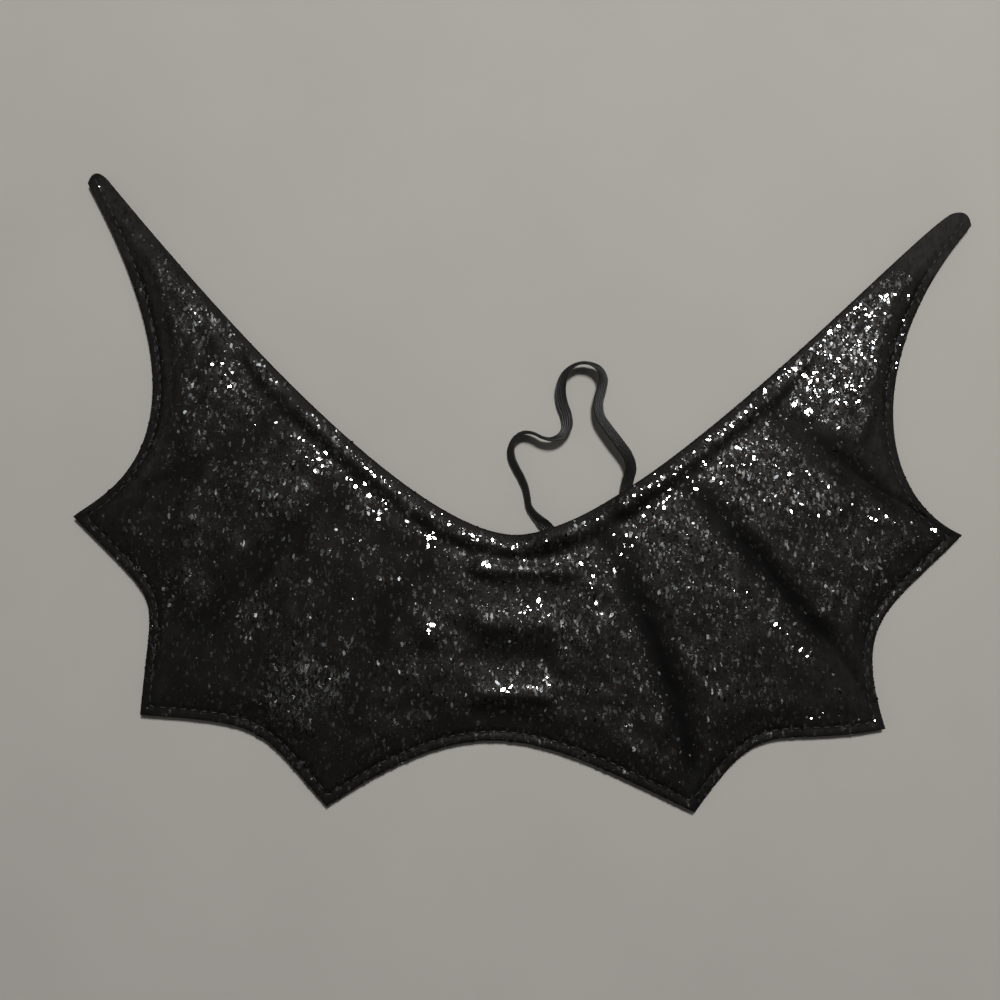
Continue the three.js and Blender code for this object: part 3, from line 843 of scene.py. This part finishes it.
def quad_cells(numbers):
    """Four-cornered faces between the neighbours of a grid of point numbers."""
    corners = [numbers[:-1, :-1], numbers[:-1, 1:], numbers[1:, 1:], numbers[1:, :-1]]
    return np.stack(corners, axis=-1).reshape(-1, 4)


def ring_cells(numbers):
    """Four-cornered faces between closed rings of point numbers."""
    return quad_cells(np.concatenate([numbers, numbers[:, :1]], axis=1))


def cloth_mesh(surface):
    """Points and faces of a closed cloth between its face and its underside."""
    columns, rows = surface.face.shape[:2]
    face = np.arange(columns * rows).reshape(columns, rows)
    under = face + columns * rows
    rim = np.stack([border_of(grid[..., None]).ravel() for grid in (face, under)], axis=1)
    rim = np.concatenate([rim, rim[:1]])
    faces = np.concatenate([quad_cells(face), quad_cells(under)[:, ::-1], quad_cells(rim)[:, ::-1]])
    points = np.concatenate([surface.face.reshape(-1, 3), surface.under.reshape(-1, 3)])
    return points, faces


def band_mesh(rings):
    """Points and faces of a closed band: rings of points along it, with a cap at each end."""
    steps, sides = rings.shape[:2]
    numbers = np.arange(steps * sides).reshape(steps, sides)
    half = sides // 2
    caps = []
    for ring, turn in ((numbers[0], 1), (numbers[-1], -1)):
        strip = np.stack([ring[1:half], ring[:half:-1]], axis=1)
        caps.append(quad_cells(strip)[:, ::turn])
    return rings.reshape(-1, 3), np.concatenate([ring_cells(numbers), *caps])


# Materials


def new_material(name, **values):
    """A material with a Principled shader whose plain sockets are set to the given values."""
    material = bpy.data.materials.new(name)
    material.use_nodes = True
    shader = material.node_tree.nodes["Principled BSDF"]
    for socket, value in values.items():
        shader.inputs[socket.replace("_", " ")].default_value = value
    return material, shader


def add_node(material, kind, inputs=None, **settings):
    """A node with its settings, and its inputs set to values or joined to other nodes' outputs."""
    node = material.node_tree.nodes.new(kind)
    for name, value in settings.items():
        setattr(node, name, value)
    for name, value in (inputs or {}).items():
        if isinstance(value, bpy.types.NodeSocket):
            material.node_tree.links.new(value, node.inputs[name])
        else:
            node.inputs[name].default_value = value
    return node


def place_of(material):
    """Coordinates in metres, in the part's own frame."""
    return add_node(material, "ShaderNodeTexCoord").outputs["Object"]


def mottle(material, place, size, low, high, detail=3.0):
    """Cloudy noise with patches of about the given size, spread over the range from low to high."""
    noise = add_node(material, "ShaderNodeTexNoise", {"Vector": place, "Scale": 1 / size, "Detail": detail})
    return spread_value(material, noise.outputs["Fac"], low, high, NOISE_RANGE)


def blend_colour(material, share, first, second):
    """One colour turning into another by a share. Each is plain or comes from another node."""
    node = add_node(material, "ShaderNodeMix", {"Factor": share}, data_type="RGBA")
    for number, colour in ((6, first), (7, second)):
        if isinstance(colour, bpy.types.NodeSocket):
            material.node_tree.links.new(colour, node.inputs[number])
        else:
            node.inputs[number].default_value = (*colour, 1.0)
    return node.outputs[2]


def join(material, output, shader, socket):
    """Lead a node's output into one of the shader's sockets."""
    material.node_tree.links.new(output, shader.inputs[socket])


def add_bump(material, shader, height, depth, strength):
    """A fine relief of the given depth on the shader's normals."""
    bump = add_node(material, "ShaderNodeBump", {"Height": height, "Distance": depth, "Strength": strength})
    join(material, bump.outputs["Normal"], shader, "Normal")


def spread_value(material, value, low, high, own=(0.0, 1.0)):
    """A value with a range of its own, spread over the range from low to high."""
    inputs = {"Value": value, "From Min": own[0], "From Max": own[1], "To Min": low, "To Max": high}
    return add_node(material, "ShaderNodeMapRange", inputs).outputs["Result"]


def sum_up(material, operation, *values):
    """One step of arithmetic on values or other nodes' outputs."""
    return add_node(material, "ShaderNodeMath", dict(enumerate(values)), operation=operation).outputs[0]


def vector_step(material, operation, inputs):
    """One step of arithmetic on vectors."""
    return add_node(material, "ShaderNodeVectorMath", inputs, operation=operation).outputs["Vector"]


def dust_facing(material, cells, grain, chance):
    """Normals of the glitter dust: one random tilt for each grain, small for most of them."""
    centred = vector_step(material, "SUBTRACT", {0: cells.outputs["Color"], 1: (0.5, 0.5, 0.5)})
    rare = sum_up(material, "POWER", chance, DUST_TILT_POWER)
    tilt = sum_up(material, "MULTIPLY", grain, spread_value(material, rare, *DUST_TILTS))
    leaning = vector_step(material, "SCALE", {0: centred, "Scale": tilt})
    normal = add_node(material, "ShaderNodeNewGeometry").outputs["Normal"]
    added = vector_step(material, "ADD", {0: normal, 1: leaning})
    return vector_step(material, "NORMALIZE", {0: added})


def glitter_cloth_material(cloth, glitter):
    """Black cloth under a dark film with clumps of glitter dust, each grain with its own tilt."""
    material, shader = new_material("glitter_cloth", Specular_IOR_Level=0.05)
    place = place_of(material)
    mapped = add_node(material, "ShaderNodeMapping", {"Vector": place, "Scale": (1.0, DUST_SQUEEZE, 1.0)})
    drawn_out = mapped.outputs["Vector"]
    rubbed = add_node(material, "ShaderNodeAttribute", attribute_name=WORN).outputs["Fac"]
    pale = sum_up(material, "MULTIPLY", rubbed, mottle(material, drawn_out, WORN_SPECK, *WORN_SPECK_RANGE))
    ground = blend_colour(material, pale, cloth.cloth_colour, cloth.worn_colour)
    # The cover also carries painted shade in the creases and along the edges, and painted light on the
    # right wing
    cover = add_node(material, "ShaderNodeAttribute", attribute_name=COVER).outputs["Fac"]
    film = sum_up(material, "MULTIPLY", cover, sum_up(material, "SUBTRACT", 1.0, pale))
    filmed = blend_colour(material, film, ground, glitter.smoke)

    spacing = {"Vector": drawn_out, "Scale": 1 / glitter.dust_size}
    cells = add_node(material, "ShaderNodeTexVoronoi", spacing)
    noise = add_node(material, "ShaderNodeTexWhiteNoise", {"Vector": cells.outputs["Position"]})
    split = add_node(material, "ShaderNodeSeparateColor", {"Color": noise.outputs["Color"]})
    clump = mottle(material, place, CLUMP_SIZE, *(share * glitter.dust_share for share in CLUMP_RANGE))
    chance = sum_up(material, "MULTIPLY", cover, clump)
    grain = sum_up(material, "LESS_THAN", split.outputs["Red"], chance)
    rare = sum_up(material, "POWER", split.outputs["Green"], DUST_DARK_POWER)
    bright = sum_up(material, "MULTIPLY", cover, rare)
    tint = blend_colour(material, bright, glitter.smoke, glitter.dust)
    join(material, blend_colour(material, grain, filmed, tint), shader, "Base Color")
    join(material, film, shader, "Metallic")
    join(material, spread_value(material, grain, FILM_ROUGHNESS, DUST_ROUGHNESS), shader, "Roughness")
    join(material, dust_facing(material, cells, grain, split.outputs["Blue"]), shader, "Normal")
    return material


def weave_height(material, place, pitch):
    """Height of a plain weave: threads along x and along y, each over and under the other."""
    scale = 1 / (pitch * math.tau) * math.pi
    waves = [
        add_node(material, "ShaderNodeTexWave", {"Vector": place, "Scale": scale}, bands_direction=axis)
        for axis in ("X", "Y")
    ]
    return sum_up(material, "MULTIPLY", *(wave.outputs["Fac"] for wave in waves))


def plain_material(name, colour, finish, **values):
    """A material in soft patches of two tones, with its shader and the coordinates that it uses."""
    material, shader = new_material(name, **values)
    place = place_of(material)
    toned = tuple(finish.tone * c for c in colour)
    shade = mottle(material, place, finish.patch, 0.0, 1.0)
    join(material, blend_colour(material, shade, colour, toned), shader, "Base Color")
    join(material, mottle(material, place, finish.grain, finish.least, finish.most), shader, "Roughness")
    return material, shader, place


def backing_cloth_material(cloth):
    """Matt black plain weave."""
    material, shader, place = plain_material(
        "backing_cloth", cloth.backing_colour, BACKING_FINISH,
        Specular_IOR_Level=0.12, Sheen_Weight=0.02, Sheen_Roughness=0.6)
    add_bump(material, shader, weave_height(material, place, WEAVE_PITCH), WEAVE_DEPTH, WEAVE_STRENGTH)
    return material


def elastic_material(elastic):
    """Satin black braid."""
    material, shader, place = plain_material(
        "elastic_braid", elastic.colour, ELASTIC_FINISH, Specular_IOR_Level=0.42, Sheen_Weight=0.05)
    braid = mottle(material, place, BRAID_GRAIN, 0.0, 1.0, BRAID_DETAIL)
    add_bump(material, shader, braid, BRAID_DEPTH, BRAID_STRENGTH)
    return material


def thread_material(stitches):
    """Black sewing thread with a slight shine."""
    return plain_material(
        "sewing_thread", stitches.colour, THREAD_FINISH, Specular_IOR_Level=0.5, Sheen_Weight=0.1)[0]


def flake_materials(glitter):
    """The flakes' three metal tints, brightest and most polished first."""
    materials = []
    for tint, roughness in FLAKE_ROUGHNESS.items():
        colour = (*getattr(glitter, tint), 1.0)
        material, _ = new_material(f"flake_{tint}", Base_Color=colour, Metallic=1.0, Roughness=roughness)
        materials.append(material)
    return materials


def floor_material(stage):
    """Plain pale floor, very slightly mottled."""
    return plain_material("pale_floor", stage.floor_colour, FLOOR_FINISH, Specular_IOR_Level=0.1)[0]


# Pieces


def camera_matrix():
    """Where the camera stands and how it is turned."""
    turn = Matrix.Rotation(CAMERA_YAW, 4, "Z") @ Matrix.Rotation(CAMERA_LEAN, 4, "X")
    return Matrix.Translation(AIM) @ turn @ Matrix.Translation((0, 0, CAMERA_DISTANCE))


def make_camera():
    """A camera at the photograph's angle: nearly straight above, leaning a little towards the hem."""
    data = bpy.data.cameras.new("camera")
    data.sensor_width = SENSOR_WIDTH
    data.lens = FOCAL_LENGTH
    camera = bpy.data.objects.new("camera", data)
    bpy.context.scene.collection.objects.link(camera)
    camera.matrix_world = camera_matrix()
    bpy.context.scene.camera = camera


def make_light(name, place, size, power):
    """A square soft light that faces the middle of the wings."""
    data = bpy.data.lights.new(name, "AREA")
    data.size = size
    data.energy = power
    light = bpy.data.objects.new(name, data)
    light.location = place
    light.rotation_mode = "QUATERNION"
    light.rotation_quaternion = (-Vector(place)).to_track_quat("-Z", "Y")
    bpy.context.scene.collection.objects.link(light)


def make_floor(stage):
    """A wide floor that curves up into a pale wall all round."""
    turn = np.linspace(0, math.pi / 2, FLOOR_STEPS)
    bend = FLOOR_RADIUS + FLOOR_BEND * np.sin(turn)
    out = np.concatenate([[FLOOR_MIDDLE], bend, [FLOOR_RADIUS + FLOOR_BEND]])
    up = np.concatenate([[0.0], FLOOR_BEND - FLOOR_BEND * np.cos(turn), [FLOOR_WALL]])
    heading = np.linspace(0, math.tau, FLOOR_SIDES, endpoint=False)
    rings = np.stack([np.outer(out, np.cos(heading)), np.outer(out, np.sin(heading))], axis=-1)
    rings = np.dstack([rings, np.broadcast_to(up[:, None], rings.shape[:2])])
    numbers = np.arange(len(rings) * FLOOR_SIDES).reshape(-1, FLOOR_SIDES)
    faces = [*ring_cells(numbers)[:, ::-1].tolist(), numbers[0].tolist()]
    mesh = bpy.data.meshes.new("floor")
    mesh.from_pydata(rings.reshape(-1, 3).tolist(), [], faces)
    mesh.polygons.foreach_set("use_smooth", np.ones(len(faces), bool))
    mesh.materials.append(floor_material(stage))
    floor = bpy.data.objects.new("floor", mesh)
    floor.location.z = CAD_LOW.z - FLOOR_GAP
    bpy.context.scene.collection.objects.link(floor)


def elastic_line(width, thickness):
    """Points of the elastic's middle line, and its turn at each, on one smooth curve through the route."""
    tilt = np.radians([p.turn for p in ELASTIC_ROUTE])
    lift = np.array([p.lift for p in ELASTIC_ROUTE])
    middle = lift + (width * np.sin(tilt) + thickness * np.cos(tilt)) / 2
    knots = np.column_stack([[p.x for p in ELASTIC_ROUTE], [p.y for p in ELASTIC_ROUTE], middle])
    ends = 2 * knots[0] - knots[1], 2 * knots[-1] - knots[-2]
    knots = np.concatenate([ends[:1], knots, ends[1:]])
    gaps = np.sqrt(np.linalg.norm(np.diff(knots, axis=0), axis=1))[:, None]
    line, turns = [], []
    for i in range(1, len(knots) - 2):
        (a, b, c, d), (g, h, k) = knots[i - 1:i + 3], gaps[i - 1:i + 2]
        leave = ((b - a) / g - (c - a) / (g + h) + (c - b) / h) * h
        arrive = ((c - b) / h - (d - b) / (h + k) + (d - c) / k) * h
        last = i == len(knots) - 3
        t = np.linspace(0, 1, ELASTIC_STEPS_PER_POINT + last, endpoint=last)[:, None]
        curve = b + leave * t + (3 * (c - b) - 2 * leave - arrive) * t ** 2
        line.append(curve + (2 * (b - c) + leave + arrive) * t ** 3)
        turns.append(mix(tilt[i - 1], tilt[i], t[:, 0]))
    return np.concatenate(line), np.concatenate(turns)


def elastic_section(width, thickness, cords):
    """Outline of the flat elastic, across and through it, with a ridge over each of its cords."""
    across = np.cos(np.linspace(0, math.pi, ELASTIC_SAMPLES_ACROSS))
    through = np.maximum(1 - np.abs(across) ** ELASTIC_SQUARENESS, 0) ** 0.5
    ridges = 1 - ELASTIC_RIDGE_DEPTH * (0.5 + 0.5 * np.cos(math.pi * cords * (across + 1)))
    upper = np.column_stack([across * width / 2, through * ridges * thickness / 2])
    return np.concatenate([upper, -upper[1:-1]])


def elastic_rings(elastic):
    """The elastic's middle line, and a ring of points round it at each of the line's points."""
    line, turns = elastic_line(elastic.width, elastic.thickness)
    forward = unit(np.gradient(line, axis=0))
    side = unit(np.column_stack([forward[:, 1], -forward[:, 0], np.zeros(len(line))]))
    upward = np.cross(side, forward)
    cos, sin = np.cos(turns)[:, None], np.sin(turns)[:, None]
    across, through = side * cos + upward * sin, upward * cos - side * sin
    section = elastic_section(elastic.width, elastic.thickness, elastic.cords)
    rings = line[:, None] + across[:, None] * section[:, :1] + through[:, None] * section[:, 1:]
    return line, rings


def make_elastic(elastic):
    """The elastic, a flat band that lies loose."""
    line, rings = elastic_rings(elastic)
    points, faces = band_mesh(rings)
    piece = new_piece("elastic_band", points, faces, "elastic", [elastic_material(elastic)])
    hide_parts("elastic_loop")


def make_backing(cloth, stitches):
    """The backing cloth with the stitches below it, lying on the floor."""
    surface = backing_surface(cloth, stitches)
    material = backing_cloth_material(cloth)
    piece = new_piece("backing_cloth", *cloth_mesh(surface), "backing_cloth", [material])
    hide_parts("back_panel")
    places = seam_places(surface.under[:, -1, :2], surface.border, stitches.inset, stitches.pitch)
    below = make_stitches("backing_stitches", "backing_cloth", surface.under, places, stitches, -1)


def make_front(surface, cloth, glitter):
    """The glitter cloth, with layers for what is left of its glitter and for its worn colour."""
    material = glitter_cloth_material(cloth, glitter)
    piece = new_piece("glitter_cloth", *cloth_mesh(surface), "glitter_cloth", [material])
    for name, values in ((COVER, surface.cover), (WORN, surface.worn)):
        layer = piece.data.attributes.new(name, "FLOAT", "POINT")
        layer.data.foreach_set("value", np.tile(values.ravel(), 2).astype(np.float32))
    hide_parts("front_panel")
    return piece


def scatter(surface, count, rng):
    """Random places on the cloth's face with the normals there, fewer where the glitter is worn and in the
    painted shade of the creases and edges, more in the painted light on the right wing.
    """
    grid, normals = surface.face, grid_normals(surface.face)
    cells = [grid[:-1, :-1], grid[:-1, 1:], grid[1:, 1:], grid[1:, :-1]]
    area = np.linalg.norm(np.cross(cells[2] - cells[0], cells[3] - cells[1]), axis=-1)
    kept = surface.cover * (1 - WORN_LOSS * surface.worn)
    weight = (area * kept[:-1, :-1]).ravel()
    chosen = rng.choice(len(weight), count, p=weight / weight.sum())
    i, j = np.unravel_index(chosen, area.shape)
    u, v = rng.random((2, count, 1))

    def between(values):
        near = mix(values[i, j], values[i + 1, j], u)
        far = mix(values[i, j + 1], values[i + 1, j + 1], u)
        return mix(near, far, v)

    return between(grid), unit(between(normals))


def flake_facing(normals, glitter, rng):
    """Where each flake faces: near the cloth's normal if it lies, further off if it is loose."""
    count = len(normals)
    usual = np.where(rng.random(count) < glitter.loose_share, glitter.loose_tilt, glitter.lying_tilt)
    tilt = np.minimum(usual * np.sqrt(-2 * np.log(rng.random(count))), FLAKE_STEEPEST)
    heading = rng.uniform(0, math.tau, count)
    first = unit(np.cross(normals, (0.0, 1.0, 0.0)))
    second = np.cross(normals, first)
    lean = first * np.cos(heading)[:, None] + second * np.sin(heading)[:, None]
    return normals * np.cos(tilt)[:, None] + lean * np.sin(tilt)[:, None]


def flake_mesh(places, facing, size, corners, rng):
    """Flakes as shallow upturned cones with few sides: a flat top, and a foot sunk in the cloth."""
    count = len(places)
    across = unit(np.cross(facing, (0.0, 1.0, 0.0)))
    other = np.cross(facing, across)
    start = rng.uniform(0, math.tau, (count, 1))
    angle = start + np.arange(corners) * (math.tau / corners)
    spread = np.clip(np.exp(rng.normal(0, FLAKE_SPREAD, (count, 1))), *FLAKE_RANGE)
    radius = size / 2 * spread * rng.uniform(*FLAKE_RAGGED, (count, corners))
    stretch = rng.uniform(1.0, FLAKE_STRETCH, (count, 1))
    wide, high = radius * np.cos(angle) * stretch, radius * np.sin(angle) / stretch
    lean = rng.uniform(0, math.pi, (count, 1, 1))
    along = across[:, None] * np.cos(lean) + other[:, None] * np.sin(lean)
    athwart = other[:, None] * np.cos(lean) - across[:, None] * np.sin(lean)
    rim = places[:, None] + wide[..., None] * along + high[..., None] * athwart
    rim = rim + facing[:, None] * FLAKE_LIFT
    foot = places[:, None] - facing[:, None] * FLAKE_FOOT
    points = np.concatenate([rim, foot], axis=1).reshape(-1, 3)
    base = np.arange(count)[:, None] * (corners + 1)
    top = base + np.arange(corners)
    sides = np.stack([np.roll(top, -1, axis=1), top, np.broadcast_to(base + corners, top.shape)], axis=-1)
    fan = np.stack([np.broadcast_to(top[:, :1], top[:, 2:].shape), top[:, 1:-1], top[:, 2:]], axis=-1)
    return points, np.concatenate([fan, sides], axis=1)


def make_flakes(kind, count, size, surface, glitter):
    """One joined mesh of scattered flakes of one kind, in three tints."""
    rng = np.random.default_rng(kind.seed)
    places, normals = scatter(surface, count, rng)
    facing = flake_facing(normals, glitter, rng)
    points, faces = flake_mesh(places, facing, size, kind.corners, rng)
    materials = flake_materials(glitter)
    piece = new_piece(kind.name, points, faces.reshape(-1, 3), "glitter_cloth", materials, smooth=False)
    tint = rng.choice(len(kind.tints), count, p=kind.tints)
    piece.data.polygons.foreach_set("material_index", np.repeat(tint, faces.shape[1]).astype(np.int32))
    return piece


def seam_places(edge, border, inset, pitch):
    """Places along one edge, a stitch apart, moved in by inset and kept clear of the rest of the border."""
    places = at_lengths(edge, np.arange(0, curve_lengths(edge)[-1], pitch / SEAM_TRACE_STEPS))
    run = unit(np.gradient(places, axis=0))
    inward = np.column_stack([-run[:, 1], run[:, 0]])
    moved = places + inward * inset
    keep = to_border(moved, border)[0] > inset * SEAM_CLEAR_SHARE
    line = moved[keep]
    step = np.linalg.norm(np.diff(line, axis=0), axis=1)
    return at_lengths(line, np.arange(0, step.sum(), pitch))


def stitch_mesh(places, along, normals, length, thread):
    """Short threads that rise from the cloth, run along it and go down again."""
    t = np.linspace(-1, 1, STITCH_RINGS)
    angle = np.arange(STITCH_SIDES) * (math.tau / STITCH_SIDES)
    radius = thread / 2 * np.maximum(1 - np.abs(t) ** 6, STITCH_END)
    crown, sink = STITCH_ARCH
    arch = thread * (crown - sink * t ** 4)
    across = np.cross(normals, along)
    centre = places[:, None] + along[:, None] * (t * length / 2)[:, None] + normals[:, None] * arch[:, None]
    ring = across[:, None] * np.cos(angle)[:, None] + normals[:, None] * np.sin(angle)[:, None]
    points = centre[:, :, None] + ring[:, None] * radius[:, None, None]
    points[..., 2] = np.maximum(points[..., 2], CAD_LOW.z)
    numbers = np.arange(STITCH_RINGS * STITCH_SIDES).reshape(STITCH_RINGS, STITCH_SIDES)
    cap = np.array(STITCH_CAP)
    faces = np.concatenate([ring_cells(numbers), numbers[0][cap][:, ::-1], numbers[-1][cap]])
    every = faces + np.arange(len(places))[:, None, None] * numbers.size
    return points.reshape(-1, 3), every.reshape(-1, 4)


def on_cloth(grid, places, upward):
    """Points and normals of a cloth's face, or of its underside, above or below given places."""
    points = [Vector(p) for p in grid.reshape(-1, 3)]
    numbers = np.arange(len(points)).reshape(grid.shape[:2])
    tree = BVHTree.FromPolygons(points, quad_cells(numbers).tolist())
    spots, normals = [], []
    for x, y in places:
        spot, normal, _, _ = tree.ray_cast(Vector((x, y, upward)), Vector((0, 0, -upward)))
        if spot is None:
            raise RuntimeError(f"nothing of the cloth is at {x:.4f}, {y:.4f}")
        spots.append(spot)
        normals.append(normal if normal.z * upward > 0 else -normal)
    return np.array(spots), np.array(normals)


def make_catches(surface, glitter):
    """The single bright flakes along the tables' lines, in one joined mesh."""
    rng = np.random.default_rng(CATCH_SEED)
    places = []
    for line in CATCHES:
        share = rng.random((line.count, 1))
        stray = rng.normal(0, line.stray, (line.count, 2))
        places.append(mix(np.array(line.start), np.array(line.end), share) + stray)
    for line in EDGE_CATCHES:
        row = surface.face[:, TOP_ROWS.index(line.row)]
        x = mix(line.left, line.right, rng.random(line.count))
        stray = rng.normal(0, line.stray, (line.count, 2))
        places.append(np.column_stack([x, np.interp(x, row[:, 0], row[:, 1])]) + stray)
    lines = (*CATCHES, *EDGE_CATCHES)
    sizes = [np.full((line.count, 1), line.size * glitter.bright_size) for line in lines]
    spots, _ = on_cloth(surface.face, np.concatenate(places), 1)
    to_camera = unit(np.array(camera_matrix().translation) - spots)
    to_light = unit(np.array(KEY_PLACE) - spots)
    facing = unit(unit(to_camera + to_light) + rng.normal(0, CATCH_TILT, spots.shape))
    points, faces = flake_mesh(spots, facing, np.concatenate(sizes), CATCH_CORNERS, rng)
    silver = flake_materials(glitter)[:1]
    return new_piece("bright_flakes", points, faces.reshape(-1, 3), "glitter_cloth", silver, smooth=False)


def make_stitches(name, slot, grid, places, stitches, upward):
    """A line of stitches on a cloth's face, or below the backing."""
    spots, normals = on_cloth(grid, places, upward)
    along = np.gradient(spots, axis=0)
    along = unit(along - normals * (along * normals).sum(-1, keepdims=True))
    points, faces = stitch_mesh(spots, along, normals, stitches.pitch * STITCH_SHARE, stitches.thread)
    return new_piece(name, points, faces, slot, [thread_material(stitches)])


# Operators


class BATWINGS_OT_stage(bpy.types.Operator):
    """Set up the camera, the soft lights and the pale floor"""

    bl_idname = "bat_wings.stage"
    bl_label = "Stage"

    def execute(self, context):
        stage = context.scene.bat_wings.stage
        make_camera()
        make_light("key_light", KEY_PLACE, stage.key_size, stage.key_power)
        for name, place in FILL_PLACES.items():
            make_light(name, place, FILL_SIZE, stage.fill_power)
        make_floor(stage)
        context.scene.view_settings.view_transform = "Standard"
        world = bpy.data.worlds.new("room")
        world.use_nodes = True
        background = world.node_tree.nodes["Background"]
        background.inputs["Color"].default_value = ROOM_COLOUR
        background.inputs["Strength"].default_value = stage.sky
        context.scene.world = world
        return {"FINISHED"}


class BATWINGS_OT_elastic(bpy.types.Operator):
    """Make the loose loop of flat elastic"""

    bl_idname = "bat_wings.elastic"
    bl_label = "Elastic loop"

    def execute(self, context):
        make_elastic(context.scene.bat_wings.elastic)
        return {"FINISHED"}


class BATWINGS_OT_backing(bpy.types.Operator):
    """Make the plain backing cloth and the stitches that show below it"""

    bl_idname = "bat_wings.backing"
    bl_label = "Backing cloth"

    def execute(self, context):
        settings = context.scene.bat_wings
        make_backing(settings.cloth, settings.stitches)
        return {"FINISHED"}


class BATWINGS_OT_front(bpy.types.Operator):
    """Make the glitter cloth with its flakes and the stitches along its hem"""

    bl_idname = "bat_wings.front"
    bl_label = "Glitter cloth"

    def execute(self, context):
        settings = context.scene.bat_wings
        glitter, stitches = settings.glitter, settings.stitches
        surface = front_surface(settings.cloth, stitches)
        front = make_front(surface, settings.cloth, glitter)
        places = seam_places(surface.face[:, -1, :2], surface.border, stitches.inset, stitches.pitch)
        pieces = [
            make_flakes(FINE_FLAKES, glitter.fine_count, glitter.fine_size, surface, glitter),
            make_flakes(COARSE_FLAKES, glitter.coarse_count, glitter.coarse_size, surface, glitter),
            make_catches(surface, glitter),
            make_stitches("hem_stitches", "glitter_cloth", surface.face, places, stitches, 1),
        ]
        return {"FINISHED"}


class BATWINGS_PT_sidebar(bpy.types.Panel):
    """The wings' pieces and sizes"""

    bl_label = "Bat wings"
    bl_space_type = "VIEW_3D"
    bl_region_type = "UI"
    bl_category = "Bat wings"

    def draw(self, context):
        for operator in OPERATORS:
            self.layout.operator(operator.bl_idname)
        for group in SETTING_GROUPS:
            box = self.layout.box()
            box.label(text=group.capitalize())
            settings = getattr(context.scene.bat_wings, group)
            for name in settings.__annotations__:
                box.prop(settings, name)


OPERATORS = (BATWINGS_OT_stage, BATWINGS_OT_elastic, BATWINGS_OT_backing, BATWINGS_OT_front)
SETTING_GROUPS = ("cloth", "glitter", "stitches", "elastic", "stage")
CLASSES = (
    BatWingsCloth, BatWingsGlitter, BatWingsStitches, BatWingsElastic, BatWingsStage, BatWingsSettings,
    *OPERATORS, BATWINGS_PT_sidebar,
)


def register():
    """Add the settings, the operators and the panel to Blender."""
    for cls in CLASSES:
        bpy.utils.register_class(cls)
    bpy.types.Scene.bat_wings = PointerProperty(type=BatWingsSettings)


def unregister():
    """Take them out again."""
    del bpy.types.Scene.bat_wings
    for cls in reversed(CLASSES):
        bpy.utils.unregister_class(cls)


def main():
    """Make every piece."""
    register()
    bpy.ops.bat_wings.stage()
    bpy.ops.bat_wings.elastic()
    bpy.ops.bat_wings.backing()
    bpy.ops.bat_wings.front()


if __name__ == "__main__":
    main()
